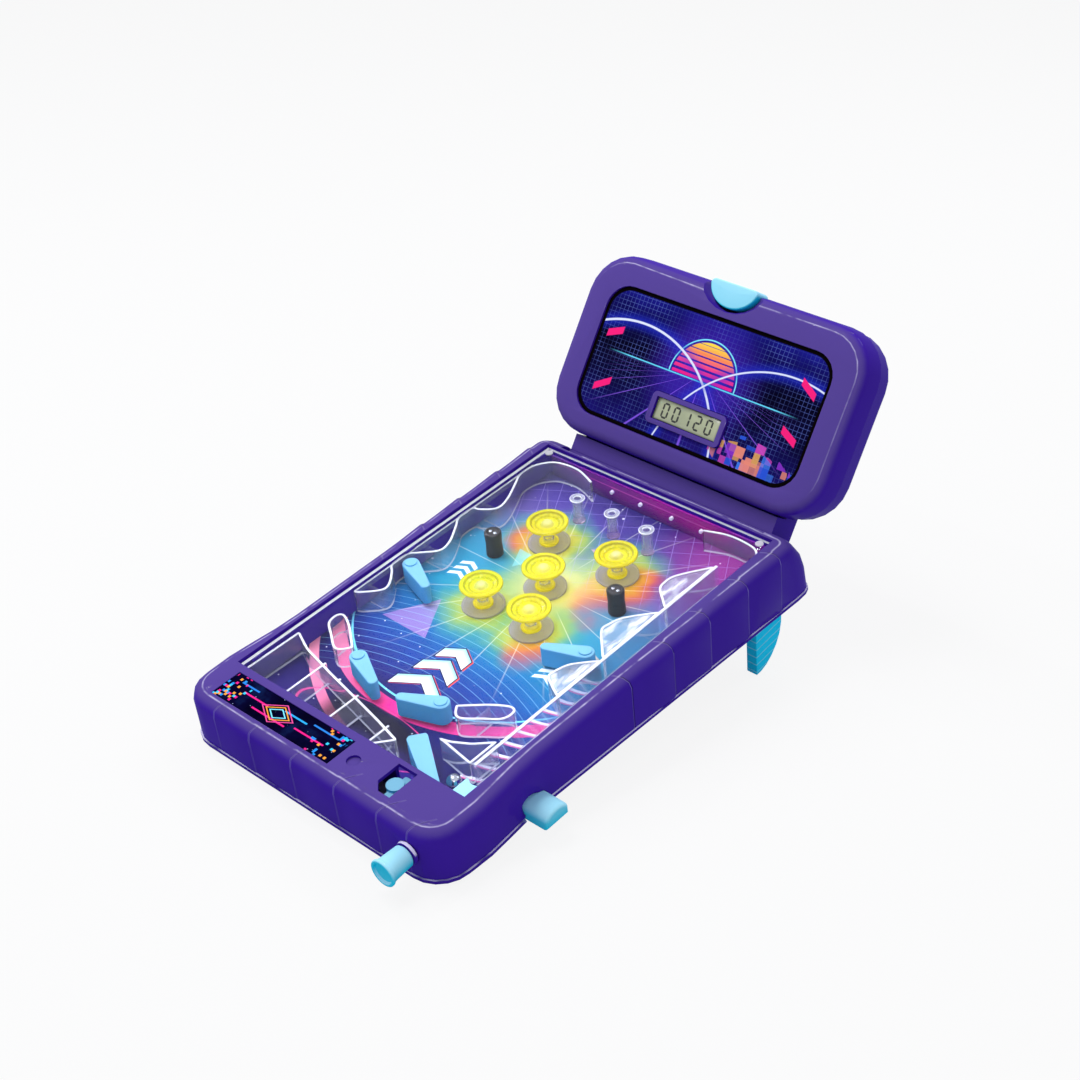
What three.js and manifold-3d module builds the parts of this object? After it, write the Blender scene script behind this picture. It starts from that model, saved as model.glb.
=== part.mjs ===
// Tabletop pinball game: a wedge-shaped case with a clear-covered playfield, a leaning score head,
// fold-out rear legs, four flippers worked by two side buttons, a spring plunger and a ball feed lever.
// The table frame has +X to the player's right, +Y to the back and +Z out of the clear cover, with its
// origin in the middle of the cover's top face. It is tilted about X, so that the back is raised.
import * as THREE from "three";
import { mergeVertices } from "three/addons/utils/BufferGeometryUtils.js";
import Module from "manifold-3d";

const wasm = await Module();
wasm.setup();

// Clearances, in millimetres like every other length
const GAP = 0.3;
const RUNNING_GAP = 0.4;
const OVERRUN = 1;
const FUSE = 0.5;

// Stance
const TILT_DEGREES = 10;
const GROUND_SLOPE = Math.tan(THREE.MathUtils.degToRad(TILT_DEGREES));

// Window over the playfield, and the playfield below it
const WINDOW_WIDTH = 200;
const WINDOW_LENGTH = 297.6;
const PLAY_DEPTH = 22;
const DECK_THICKNESS = 3;
const WELL_WALL = 2.3;
const COVER_THICKNESS = 1.6;
const COVER_TAB_LENGTH = 8;
const COVER_TAB_REACH = 2;
const COVER_TAB_THICKNESS = 2;
const COVER_TAB_SHARES = [-0.99, 0, 0.96];
const COVER_STUD_RADIUS = 3;
const COVER_STUD_HEIGHT = 1.2;

// Case outline and section
const CASE_SIDE_MARGIN = 15.4;
const FRONT_MARGIN = 40.2;
const BACK_MARGIN = 10.2;
const FRONT_CORNER_RADIUS = 23;
const BACK_CORNER_RADIUS = 13;
const UNDER_DECK_ROOM = 11;
const UNDERSIDE_SLOPE = 0.037;
const BACK_FLARE = 19;
const FLARE_REACH = 12;
const RIM_RISE = 2.5;
const RIM_ROLL = 9;
const RIM_DRAFT = 1;
const SHELL_WALL = 2.5;
const LIP_HEIGHT = 2.5;
const UPSTAND_HEIGHT = 6;
const UPSTAND_WALL = 2;
const UPSTAND_FLARE_SHARE = 0.9;
const GATE_START_SHARE = 0.44;
const TONGUE_SHARES = [0.42, 0.98];
// Where the rim roll ends and the wall bends, as depths below the cover
const WALL_BEND_DEPTH = 17;
const WALL_KNEE_DEPTH = 28;
// Flare reached at the rim roll, the bend, the knee and the foot, as shares of the back flare
const FLARE_SHARES = [0.25, 0.63, 0.84, 1];
// Height of the rim's plates left at the bend, the knee and the foot, as shares of their height
const PLATE_SHARES = [0.9, 0.8, 0.7];

// Side profile from the front corner to the back corner: share of the straight run, share of the
// half width
const SIDE_PROFILE_SHARES = [
  [0, 0.995], [0.052, 1], [0.12, 0.985], [0.195, 0.966], [0.275, 0.965],
  [0.372, 0.969], [0.532, 0.976], [0.692, 0.982], [0.845, 0.985], [1, 0.99],
];
const SIDE_SMOOTH_END_SHARE = 0.47;
const SIDE_SMOOTH_STEPS = 8;
// Overlapping plates moulded into the rim: where each begins, as shares of the side run and of the
// front edge
const SIDE_PLATE_SHARES = [0.494, 0.622, 0.74, 0.868, 0.98];
const FRONT_PLATE_SHARES = [0.07, 0.25, 0.455, 0.66, 0.855, 0.99];
const PLATE_RISE = 1.3;
const FRONT_PLATE_RISE = 0.8;
// Height of a plate over its run: share of the run, share of the rise
const PLATE_RAMP_SHARES = [[0.02, 0], [0.35, 0.15], [0.93, 1], [0.995, 0]];
const CORNER_STEPS = 5;
const MITRE_SHARE = 0.35;
const ROLL_STEPS = 3;
const HOLLOW_ROLL_STEPS = 2;

// Front panel
const LABEL_START_SHARE = -0.91;
const LABEL_DIMPLE_SPACING = 11.3;
const LABEL_LENGTH = 23;
const LABEL_THICKNESS = 0.8;
const LABEL_RECESS = 1.2;
const DIMPLE_SHARE = 0.263;
const DIMPLE_RADIUS = 4.65;
const DIMPLE_DEPTH = 1.7;
const POCKET_WIDTH = 15.5;
const POCKET_LENGTH = 23.4;
const POCKET_CHAMFER = 6;
const POCKET_RIGHT_SHARE = 0.655;
const POCKET_SETBACK = 3.42;

// Neck seat at the back of the case
const LEDGE_DEPTH = 5;
const LEDGE_LENGTH = 10;
const SEAT_WALL = 2.5;
const STRIP_WIDTH = 118;
const STRIP_LENGTH = 4;
const STRIP_HEIGHT = 0.6;

// Clear walls and rails on the playfield
const RAIL_WALL = 1.6;
const RAIL_TOP_DEPTH = 4.4;
const SLING_TOP_DEPTH = 6;
const SLING_WALL = 1.6;
const LANE_WIDTH = 17.8;
const LANE_WALL = 2.2;
const BLOCK_TOP_THICKNESS = 1.6;
const BAND_TOP_DEPTH = 4.7;
const BAND_WIDTH_SHARE = 0.96;
const BAND_THICKNESS = 1.6;
const BAND_PEG_RADIUS = 1.4;
const BAND_PEG_LENGTH = 2.4;
const BAND_PEG_SHARES = [-0.19, -0.06, 0.08, 0.21];

// Flippers
const DRAIN_HALF_WIDTH = 7;
const FLIPPER_ROOT_RADIUS = 6;
const FLIPPER_TIP_RADIUS = 3.4;
const FLIPPER_TOP_DEPTH = 5.5;
const FLIPPER_CLEARANCE = 2;
const FLIPPER_CAP_RADIUS = 4.25;
const FLIPPER_CAP_HEIGHT = 1;
const FLIPPER_DROOP_DEGREES = 24;
const FLIPPER_SHAFT_RADIUS = 3;
const CRANK_RADIUS = 7;
const CRANK_THICKNESS = 2.2;
const CRANK_WIDTH = 5;
const CRANK_PIN_RADIUS = 1.5;
const LINK_THICKNESS = 2.2;
const LINK_WIDTH = 9;
const LINK_SLOT_ROOM = 0.6;
const FLIPPER_CENTRE_SHARE = -0.12;
const LOWER_PIVOT_SPACING_SHARE = 0.37;
const UPPER_LEFT_INSET = 9.7;
const UPPER_RIGHT_INSET = 13.7;
const LOWER_PIVOT_SHARE = -0.625;
const UPPER_PIVOT_SHARE = -0.027;

// Flipper buttons
const BUTTON_WIDTH = 20;
const BUTTON_HEIGHT = 11.5;
const BUTTON_REACH = 16.5;
const BUTTON_ROOT = 12;
const BUTTON_CENTRE_SHARE = -0.695;
const BUTTON_LIFT = 1;
const BUTTON_ROUND = 2.5;
const BUTTON_SIDE_SHARE = 0.45;
const SCOOP_LENGTH = 34;
const SCOOP_HEIGHT = 26;
const SCOOP_DEPTH = 4;

// Plunger
const PLUNGER_RISE = 6.5;
const PLUNGER_ROD_RADIUS = 2.5;
const PLUNGER_TRAVEL = 20;
const PLUNGER_HEAD_WIDTH = 12.4;
const PLUNGER_HEAD_LENGTH = 13;
const PLUNGER_HEAD_TOP_DEPTH = 5;
const PLUNGER_HEAD_DISH = 2;
const PLUNGER_HEAD_SHARE = -0.974;
const KNOB_LENGTH = 19;
const KNOB_ROOT_RADIUS = 7.3;
const KNOB_FACE_RADIUS = 9.2;
const KNOB_RING_HEIGHT = 1.2;
const KNOB_DISH_SHARE = 0.8;
const KNOB_CREST_SHARE = 0.85;
const KNOB_BORE_DEPTH = 13;
const BUSHING_FLANGE_RADIUS = 8;
const BUSHING_FLANGE_THICKNESS = 2.2;
const BUSHING_SLEEVE_RADIUS = 5.6;
const BUSHING_SLEEVE_LENGTH = 6;
const PLUNGER_SPRING_RADIUS = 4.2;
const PLUNGER_SPRING_WIRE = 1;
const PLUNGER_SPRING_TURNS = 7;

// Ball and ball feed lever
const BALL_RADIUS = 4.76;
const BALL_SHARE = [0.71, -0.877];
const LEVER_PIVOT_SHARE = [0.74, -1.06];
const LEVER_HUB_RADIUS = 4.2;
const LEVER_PIN_RADIUS = 1.6;
const LEVER_ARM_THICKNESS = 4;
const LEVER_ARM_WIDTH = 8;
const LEVER_PAD_RADIUS = 5.6;
const LEVER_PAD_HEIGHT = 1.8;
const VANE_TOP_DEPTH = 2.4;
const VANE_SHARES = [
  [0.345, -0.885], [0.335, -0.865], [0.4, -0.81], [0.425, -0.815], [0.775, -0.985],
  [0.78, -1.06], [0.7, -1.065],
  [0.64, -0.995], [0.57, -0.975],
];

// Bumpers
const BUMPER_RADIUS = 15;
const BUMPER_BASE_THICKNESS = 1.5;
const BUMPER_COLLAR_RADIUS = 7;
const BUMPER_COLLAR_HEIGHT = 2;
const BUMPER_STEM_RADIUS = 1.6;
const BUMPER_STEM_TAIL = 2.4;
const BUMPER_CAP_TOP_DEPTH = 2.2;
const BUMPER_CAP_HEIGHT = 5.4;
// Section of the cap from the stem outwards and back: share of the radius, share of the cap height
// from below
const BUMPER_CAP_SHARES = [
  [0.24, 0], [0.5, 0.2], [0.96, 0.52], [1, 0.68], [0.97, 0.84], [0.76, 0.8], [0.74, 0.66], [0.52, 0.62],
  [0.5, 0.46], [0.3, 0.44], [0.28, 0.74], [0.2, 0.94],
];
const BUMPER_SPRING_RADIUS = 3.3;
const BUMPER_SPRING_WIRE = 0.9;
const BUMPER_SPRING_TURNS = 4;
const BUMPER_SHARES = [[-0.43, 0.557], [0.19, 0.557], [-0.12, 0.296], [-0.335, 0.039], [0.095, 0.039]];

// Posts
const POST_RADIUS = 4;
const POST_FLANGE_RADIUS = 5.5;
const POST_FLANGE_HEIGHT = 1.6;
const POST_BORE_RADIUS = 2.5;
const POST_BORE_DEPTH = 15;
const POST_TOP_DEPTH = 2.4;
const POST_SHARES = [[-0.433, 0.774], [-0.12, 0.776], [0.195, 0.77]];
const RUBBER_RADIUS = 6;
const RUBBER_ROUND = 2;
const RUBBER_TOP_DEPTH = 2.6;
const RUBBER_SHARES = [[-0.66, 0.35], [0.435, 0.355]];

// Outlines on the playfield, as shares of the window's half width and half length
// Left side rail: share of its reach from the window's left edge, share of the half length
const RAIL_REACH = 50;
const LEFT_RAIL_SHARES = [
  [0.03, -0.33], [0.12, -0.315], [0.31, -0.25], [0.3, -0.2], [0.14, -0.13], [0.03, -0.09],
  [0.03, 0.005], [0.14, 0.045], [0.34, 0.115], [0.31, 0.19], [0.14, 0.29], [0.03, 0.35],
  [0.03, 0.44], [0.14, 0.455], [0.32, 0.51], [0.29, 0.59], [0.14, 0.7], [0.03, 0.78],
  [0.05, 0.87], [0.2, 0.94], [0.4, 0.965], [0.68, 0.965], [1, 0.925],
];
const RIGHT_ARCH_SHARES = [
  [0.5, 0.93], [0.66, 0.965], [0.82, 0.965], [0.92, 0.945], [0.975, 0.885], [0.985, 0.8],
];
const DIVIDER_START_SHARE = -0.815;
const DIVIDER_END_SHARE = 0.755;
// Blocks on the lane divider: share of their reach from the divider, share of the half length
const BLOCK_REACH = 20;
const DIVIDER_BLOCK_SHARES = [
  [[0.05, -0.315], [0.5, -0.28], [0.85, -0.245], [0.825, -0.19], [0.625, -0.125], [0.05, -0.045]],
  [[0.05, -0.02], [0.4, 0.03], [0.95, 0.115], [0.95, 0.17], [0.75, 0.24], [0.05, 0.35]],
  [[0.05, 0.395], [0.3, 0.425], [0.75, 0.48], [0.85, 0.53], [0.75, 0.6], [0.05, 0.74]],
];
const LEFT_APRON_SHARES = [
  [-0.985, -0.985], [-0.975, -0.67], [-0.8, -0.725], [-0.5, -0.775], [-0.22, -0.817], [0.06, -0.86],
  [0.29, -0.9], [0.18, -0.985],
];
const LEFT_APRON_RIB_SHARES = [[-0.6, -0.75], [-0.205, -0.81], [0.15, -0.865]];
// Right apron, as shares of the lane divider's place and of the half length
const RIGHT_APRON_SHARES = [
  [0.5875, -0.79], [0.98125, -0.825], [0.98125, -0.66], [0.8375, -0.73], [0.7, -0.77],
];
const SLING_SHARES = [
  [0.36, -0.6], [0.45, -0.55], [0.54, -0.505], [0.63, -0.475],
  [0.665, -0.49], [0.65, -0.54], [0.56, -0.585], [0.43, -0.64],
];
// Score head, in its own frame: +X right, +Y up the panel, +Z out of the panel
const HEAD_LEAN_DEGREES = 37.5;
const HEAD_BACK_OFFSET = 53.4;
const HEAD_RISE = 61.4;
const HEAD_OVERHANG = 4.1;
const HEAD_HALF_HEIGHT = 67.75;
const HEAD_CENTRE_RISE = 2.75;
const HEAD_CORNER_RADIUS = 34;
const HEAD_FACE_RISE = 1.5;
const HEAD_ROLL = 7.5;
const HEAD_DRAFT = 1;
const HEAD_SPLIT_DEPTH = 20;
const HEAD_DEPTH = 38;
const HEAD_STEP = 1.2;
const HEAD_BACK_ROLL = 5;
const HEAD_WALL = 2.5;
const HEAD_CORNER_STEPS = 6;
const PANEL_SIDE_INSET = 22.9;
const PANEL_END_INSET = 19.95;
const PANEL_CORNER_RADIUS = 18;
const PANEL_THICKNESS = 1.1;
const DISPLAY_DROP = 26;
const DISPLAY_HALF_WIDTH = 27.7;
const DISPLAY_HALF_HEIGHT = 7.7;
const BEZEL_BORDER = 4;
const BEZEL_RISE = 2.2;
const DISPLAY_BACKING = 2.6;
const DISPLAY_BASE_THICKNESS = 4;
const TAB_HALF_WIDTH = 20;
const TAB_HEIGHT = 17.5;
const TAB_TOP_RISE = 72.4;
const TAB_DEPTH = 14;
const TAB_FACE_RISE = 1.4;
const TAB_TRAVEL = 1.5;
const TAB_SCOOP_HALF_WIDTH = 27;
const TAB_SCOOP_HEIGHT = 21;
const TAB_SCOOP_DEPTH = 9;
const NECK_SIDE_INSET = 25.8;
const NECK_FRONT_DEPTH = 8;
const NECK_BACK_DEPTH = 36;
const NECK_FOOT_DROP = 84;
const NECK_OVERLAP = 8;
const PLUG_HALF_SPACING = 50;
const PLUG_WIDTH = 20;
const PLUG_THICKNESS = 7;
const PLUG_LENGTH = 10;
const BOARD_HALF_WIDTH = 46;
const BOARD_HALF_HEIGHT = 34;
const BOARD_THICKNESS = 1.6;
const BOARD_CENTRE_DROP = 8;
const BOARD_BACK_DEPTH = 14.2;
const BOARD_BOSS_RADIUS = 3;
const BOARD_BOSS_INSET = 6;

// Legs
const LEG_SIDE_INSET = 7.6;
const LEG_THICKNESS = 8.4;
const LEG_FIN_THICKNESS = 5.1;
const LEG_PIVOT_INSET = 36.5;
const LEG_PIVOT_RISE = 4;
const LEG_FRONT_REACH = 4;
const LEG_HUB_RADIUS = 4;
const LEG_BODY_REACH = 14;
const LEG_FIN_REACH = 25;
// Rear edge of the leg from the sole up: share of the fin reach, share of the leg's length below
// the pivot
const LEG_EDGE_SHARES = [
  [0.05, 0.995], [0.28, 0.955], [0.52, 0.87], [0.74, 0.74], [0.9, 0.58], [0.98, 0.4], [1, 0.14],
];
const LEG_PIN_RADIUS = 1.8;
const LEG_PIN_LENGTH = 1.5;
const LEG_EAR_WALL = 1.7;
const LEG_EAR_RADIUS = 4;
const LEG_SLOT_LENGTH = 55.5;

// Underside, measured from the case's front foot edge along the sloping underside
const FLOOR_THICKNESS = 2.5;
const DECK_POST_RADIUS = 3.5;
const DECK_POST_SHARES = [
  [-0.5, -0.87], [0.3, -0.87], [-0.62, 0.2], [0.6, 0.2], [-0.55, 0.87], [0.55, 0.87],
];
const DOOR_WIDTH = 70;
const DOOR_LENGTH = 55;
const DOOR_THICKNESS = 2.2;
const DOOR_BACK_INSET = 43;
const DOOR_SCREW_RADIUS = 3;
const DOOR_SCREW_SHANK_RADIUS = 1.4;
const DOOR_SCREW_LENGTH = 8;
const DOOR_SCREW_HEAD_HEIGHT = 1.4;
const BAY_WALL = 2;
const BAY_HEIGHT = 18;
const SPEAKER_RADIUS = 25;
const SPEAKER_HEIGHT = 9.5;
const SPEAKER_MAGNET_RADIUS = 12;
const SPEAKER_MAGNET_HEIGHT = 4;
const SPEAKER_SPACING = 51;
const GRILLE_HOLE_RADIUS = 1.6;
const GRILLE_PITCH = 8;
const SWITCH_SPACING = 60;
const SWITCH_OFFSET = 60;
const SWITCH_BODY_WIDTH = 16;
const SWITCH_BODY_LENGTH = 8;
const SWITCH_BODY_HEIGHT = 5;
const SWITCH_KNOB_WIDTH = 4;
const SWITCH_KNOB_LENGTH = 4;
const SWITCH_KNOB_PROUD = 1.2;
const SWITCH_TRAVEL = 4;
const FOOT_RADIUS = 7;
const FOOT_SIDE_INSET = 27.4;
const FOOT_START = 17;
const FOOT_DROP = 2.2;
const FOOT_SEAT = 1;

// Fineness of round forms
const ROUND_SEGMENTS = 16;
const FINE_SEGMENTS = 16;
const SMALL_SEGMENTS = 10;
const HOLE_SEGMENTS = 5;
const RAIL_POINTS = 46;
const ARCH_POINTS = 13;
const BLOCK_POINTS = 10;
const SLING_POINTS = 22;
const COIL_STEPS = 8;
const COIL_SIDES = 5;

// Worked out from the sizes above
const HALF_WINDOW_WIDTH = WINDOW_WIDTH / 2;
const HALF_WINDOW_LENGTH = WINDOW_LENGTH / 2;
const CASE_FRONT = -HALF_WINDOW_LENGTH - FRONT_MARGIN;
const CASE_BACK = HALF_WINDOW_LENGTH + BACK_MARGIN;
const CASE_LENGTH = CASE_BACK - CASE_FRONT;
const CASE_HALF_WIDTH = HALF_WINDOW_WIDTH + CASE_SIDE_MARGIN;
const CASE_FRONT_DEPTH = PLAY_DEPTH + DECK_THICKNESS + UNDER_DECK_ROOM;
const LABEL_WIDTH = (DIMPLE_SHARE - LABEL_START_SHARE) * HALF_WINDOW_WIDTH - LABEL_DIMPLE_SPACING;
const DECK_TOP = -PLAY_DEPTH;
const DECK_BOTTOM = DECK_TOP - DECK_THICKNESS;
const COVER_BOTTOM = -COVER_THICKNESS;
const RAIL_BOTTOM = DECK_TOP + GAP;
const HEAD_TURN = THREE.MathUtils.degToRad(90 - HEAD_LEAN_DEGREES);
const HEAD_HALF_WIDTH = CASE_HALF_WIDTH + HEAD_OVERHANG;
const PANEL_HALF_WIDTH = HEAD_HALF_WIDTH - PANEL_SIDE_INSET;
const PANEL_HALF_HEIGHT = HEAD_HALF_HEIGHT - PANEL_END_INSET;
const NECK_HALF_WIDTH = CASE_HALF_WIDTH - NECK_SIDE_INSET;
const BAND_HEIGHT = PLAY_DEPTH - GAP - BAND_TOP_DEPTH;
const LANE_CENTRE = HALF_WINDOW_WIDTH - LANE_WIDTH / 2 - GAP;
const DIVIDER_FACE = HALF_WINDOW_WIDTH - LANE_WIDTH - LANE_WALL;
const PLUNGER_DEPTH = PLAY_DEPTH - PLUNGER_RISE;
const FLIPPER_CENTRE = FLIPPER_CENTRE_SHARE * HALF_WINDOW_WIDTH;
const LOWER_PIVOT_HALF_SPACING = LOWER_PIVOT_SPACING_SHARE * HALF_WINDOW_WIDTH;
const FLIPPER_LENGTH = LOWER_PIVOT_HALF_SPACING - DRAIN_HALF_WIDTH;
const FLIPPER_HEIGHT = PLAY_DEPTH - FLIPPER_TOP_DEPTH - FLIPPER_CLEARANCE;
const FLIPPER_SWING = THREE.MathUtils.degToRad(2 * FLIPPER_DROOP_DEGREES);
const BUTTON_TRAVEL = 2 * CRANK_RADIUS * Math.sin(FLIPPER_SWING / 2);
const LEG_OUTER_REACH = CASE_HALF_WIDTH - LEG_SIDE_INSET;
const LEG_PIVOT_BACK = CASE_BACK - LEG_PIVOT_INSET;
const LEG_PIVOT_DEPTH = -undersideAt(LEG_PIVOT_BACK) - LEG_PIVOT_RISE;
const DOOR_START = CASE_LENGTH - DOOR_BACK_INSET - DOOR_LENGTH;
const SWITCH_START = DOOR_START - SWITCH_SPACING;
const SPEAKER_START = SWITCH_START - SPEAKER_SPACING;
const FOOT_SIDE_REACH = CASE_HALF_WIDTH - FOOT_SIDE_INSET;

// Finishes
function finish(color, roughness, extra = {}) {
  return new THREE.MeshStandardMaterial({ color, roughness, ...extra });
}

const clear = { transparent: true, opacity: 0.35 };
const PURPLE = finish(0x4b2fa0, 0.25);
const LIGHT_BLUE = finish(0x7fd4f2, 0.35);
const CLEAR = finish(0xeaf2fa, 0.08, clear);
const YELLOW = finish(0xffe600, 0.15, { transparent: true, opacity: 0.75 });
const SMOKE = finish(0xb9b3ad, 0.2, { transparent: true, opacity: 0.6 });
const RUBBER = finish(0x161616, 0.6);
const STEEL = finish(0xc9ccd1, 0.18, { metalness: 1 });
const PRINT = finish(0x3b2a86, 0.35);
const DARK_PRINT = finish(0x0b0a26, 0.3);
const MAGENTA = finish(0x8a2a90, 0.3);
const GLASS_GREEN = finish(0xa7b08c, 0.3);
const BOARD_GREEN = finish(0x1f6b3a, 0.5);
const DARK = finish(0x202024, 0.5);

// Solids
function solid(geometry) {
  const bare = geometry.clone();
  bare.deleteAttribute("normal");
  bare.deleteAttribute("uv");
  const merged = mergeVertices(bare);
  const vertProperties = new Float32Array(merged.attributes.position.array);
  const triVerts = new Uint32Array(merged.index.array);
  return new wasm.Manifold(new wasm.Mesh({ numProp: 3, vertProperties, triVerts }));
}

function geometryOf(body) {
  const { numProp, vertProperties, triVerts } = body.getMesh();
  const buffer = new THREE.InterleavedBuffer(new Float32Array(vertProperties), numProp);
  const geometry = new THREE.BufferGeometry();
  geometry.setAttribute("position", new THREE.InterleavedBufferAttribute(buffer, 3, 0));
  geometry.setIndex([...triVerts]);
  const flat = geometry.toNonIndexed();
  flat.computeVertexNormals();
  return flat;
}

function piece(name, body, material) {
  const mesh = new THREE.Mesh(body.isBufferGeometry ? body : geometryOf(body), material);
  mesh.name = name;
  return mesh;
}

// Box between two opposite corners
function block(x0, x1, y0, y1, z0, z1) {
  const box = new THREE.BoxGeometry(Math.abs(x1 - x0), Math.abs(y1 - y0), Math.abs(z1 - z0));
  return solid(box.translate((x0 + x1) / 2, (y0 + y1) / 2, (z0 + z1) / 2));
}

// Upright cylinder about (x, y) from z0 to z1
function drum(radius, x, y, z0, z1, segments = ROUND_SEGMENTS) {
  const body = new THREE.CylinderGeometry(radius, radius, z1 - z0, segments);
  return solid(body.rotateX(Math.PI / 2).translate(x, y, (z0 + z1) / 2));
}

// Cylinder along X about (y, z)
function drumAlongX(radius, x0, x1, y, z, segments = SMALL_SEGMENTS) {
  const body = new THREE.CylinderGeometry(radius, radius, x1 - x0, segments);
  return solid(body.rotateZ(Math.PI / 2).translate((x0 + x1) / 2, y, z));
}

// Cylinder along Y about (x, z)
function drumAlongY(radius, x, z, y0, y1, segments = ROUND_SEGMENTS) {
  const body = new THREE.CylinderGeometry(radius, radius, y1 - y0, segments);
  return solid(body.translate(x, (y0 + y1) / 2, z));
}

// Outline of points, raised from z0 to z1
function prism(points, z0, z1) {
  const shape = new THREE.Shape(points.map(([x, y]) => new THREE.Vector2(x, y)));
  const body = new THREE.ExtrudeGeometry(shape, { depth: z1 - z0, bevelEnabled: false });
  return solid(body.translate(0, 0, z0));
}

// Round body about Z from a closed or on-axis profile of [radius, height] points
function turned(profile, segments = ROUND_SEGMENTS) {
  const points = profile.map(([r, z]) => new THREE.Vector2(r, z));
  return solid(new THREE.LatheGeometry(points, segments).rotateX(Math.PI / 2));
}

// Skin over equal rings of points, closed by a flat cap at either end
function loft(rings) {
  const count = rings[0].length;
  const positions = rings.flat().flatMap((p) => [p.x, p.y, p.z]);
  const index = [];
  for (let r = 0; r + 1 < rings.length; r += 1) {
    for (let i = 0; i < count; i += 1) {
      const a = r * count + i;
      const b = r * count + ((i + 1) % count);
      index.push(a, b, b + count, a, b + count, a + count);
    }
  }
  const last = (rings.length - 1) * count;
  const flat = (ring) => ring.map((p) => new THREE.Vector2(p.x, p.y));
  const capOf = (ring) => THREE.ShapeUtils.triangulateShape(flat(ring), []);
  index.push(...capOf(rings[0]).flatMap(([a, b, c]) => [c, b, a]));
  index.push(...capOf(rings[rings.length - 1]).flat().map((i) => last + i));
  const geometry = new THREE.BufferGeometry();
  geometry.setAttribute("position", new THREE.Float32BufferAttribute(positions, 3));
  geometry.setIndex(index);
  return solid(geometry);
}

// Place on the playfield from shares of the window's half width and half length
function at([x, y]) {
  return [x * HALF_WINDOW_WIDTH, y * HALF_WINDOW_LENGTH];
}

// Smooth run of points through places
function smooth(places, steps) {
  const curve = new THREE.SplineCurve(places.map(([x, y]) => new THREE.Vector2(x, y)));
  return curve.getSpacedPoints(steps).map((p) => [p.x, p.y]);
}

// Open run of points moved sideways by an offset, with mitred corners
function shifted(points, offset) {
  return points.map(([x, y], i) => {
    const before = points[Math.max(i - 1, 0)];
    const after = points[Math.min(i + 1, points.length - 1)];
    const a = new THREE.Vector2(x - before[0], y - before[1]).normalize();
    const b = new THREE.Vector2(after[0] - x, after[1] - y).normalize();
    const along = a.clone().add(b).normalize();
    const reach = offset / Math.max(MITRE_SHARE, along.dot(a), along.dot(b));
    return [x - along.y * reach, y + along.x * reach];
  });
}

// Upright wall that follows an open run of points
function openWall(points, thickness, z0, z1) {
  const right = shifted(points, -thickness / 2);
  const left = shifted(points, thickness / 2);
  return prism([...right, ...left.reverse()], z0, z1);
}

// Upright wall round a closed run of points, its outer face on the points
function closedWall(points, thickness, z0, z1) {
  const inside = insetPrism(points, thickness, z0 - OVERRUN, z1 + OVERRUN);
  return prism(points, z0, z1).subtract(inside);
}

// Outline drawn in by a wall, raised from z0 to z1
function insetPrism(points, thickness, z0, z1) {
  const outline = new wasm.CrossSection([points], "EvenOdd").offset(-thickness, "Miter");
  return outline.extrude(z1 - z0).translate(0, 0, z0);
}

function joined(bodies) {
  return bodies.reduce((whole, body) => whole.add(body));
}

function cut(body, cutters) {
  return cutters.reduce((rest, cutter) => rest.subtract(cutter), body);
}

// Unbroken round wire wound about Z, with its least gap between turns printed
function coil(name, radius, wire, turns, height) {
  const stepsPerTurn = COIL_STEPS;
  const sides = COIL_SIDES;
  const rings = [];
  const steps = Math.round(turns * stepsPerTurn);
  for (let i = 0; i <= steps; i += 1) {
    const turn = (2 * Math.PI * turns * i) / steps;
    const rise = wire / 2 + ((height - wire) * i) / steps;
    const ring = [];
    for (let s = 0; s < sides; s += 1) {
      const angle = (2 * Math.PI * s) / sides;
      const reach = radius + (wire / 2) * Math.cos(angle);
      const lift = rise + (wire / 2) * Math.sin(angle);
      ring.push(new THREE.Vector3(reach * Math.cos(turn), reach * Math.sin(turn), lift));
    }
    rings.push(ring);
  }
  const positions = rings.flat().flatMap((p) => [p.x, p.y, p.z]);
  const index = [];
  for (let i = 0; i < steps; i += 1) {
    for (let s = 0; s < sides; s += 1) {
      const a = i * sides + s;
      const b = i * sides + ((s + 1) % sides);
      index.push(a, a + sides, b + sides, a, b + sides, b);
    }
  }
  for (let s = 1; s + 1 < sides; s += 1) {
    index.push(0, s, s + 1);
    index.push(steps * sides, steps * sides + s + 1, steps * sides + s);
  }
  let least = Infinity;
  rings.forEach((ring, i) => {
    for (let j = i + stepsPerTurn - 1; j < rings.length; j += 1) {
      least = Math.min(least, ...ring.flatMap((p) => rings[j].map((q) => p.distanceTo(q))));
    }
  });
  console.log(`${name}: least gap between turns ${least.toFixed(2)} mm`);
  const geometry = new THREE.BufferGeometry();
  geometry.setAttribute("position", new THREE.Float32BufferAttribute(positions, 3));
  geometry.setIndex(index);
  return solid(geometry);
}

// Case
function undersideAt(y) {
  return -CASE_FRONT_DEPTH - UNDERSIDE_SLOPE * (y - CASE_FRONT);
}

function plateRise(share, starts) {
  for (let i = 0; i + 1 < starts.length; i += 1) {
    const along = (share - starts[i]) / (starts[i + 1] - starts[i]);
    if (along < 0 || along > 1) continue;
    for (let k = 0; k + 1 < PLATE_RAMP_SHARES.length; k += 1) {
      const [a, low] = PLATE_RAMP_SHARES[k];
      const [b, high] = PLATE_RAMP_SHARES[k + 1];
      if (along >= a && along <= b) return low + ((high - low) * (along - a)) / (b - a);
    }
  }
  return 0;
}

// Stops along the plates: the first of each plate is also a stop of the plain lip below
function plateStops(starts) {
  return starts.slice(0, -1).flatMap((start, i) => PLATE_RAMP_SHARES.map(([a], k) => (
    { share: start + a * (starts[i + 1] - start), lip: k === 0 }
  )));
}

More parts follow.
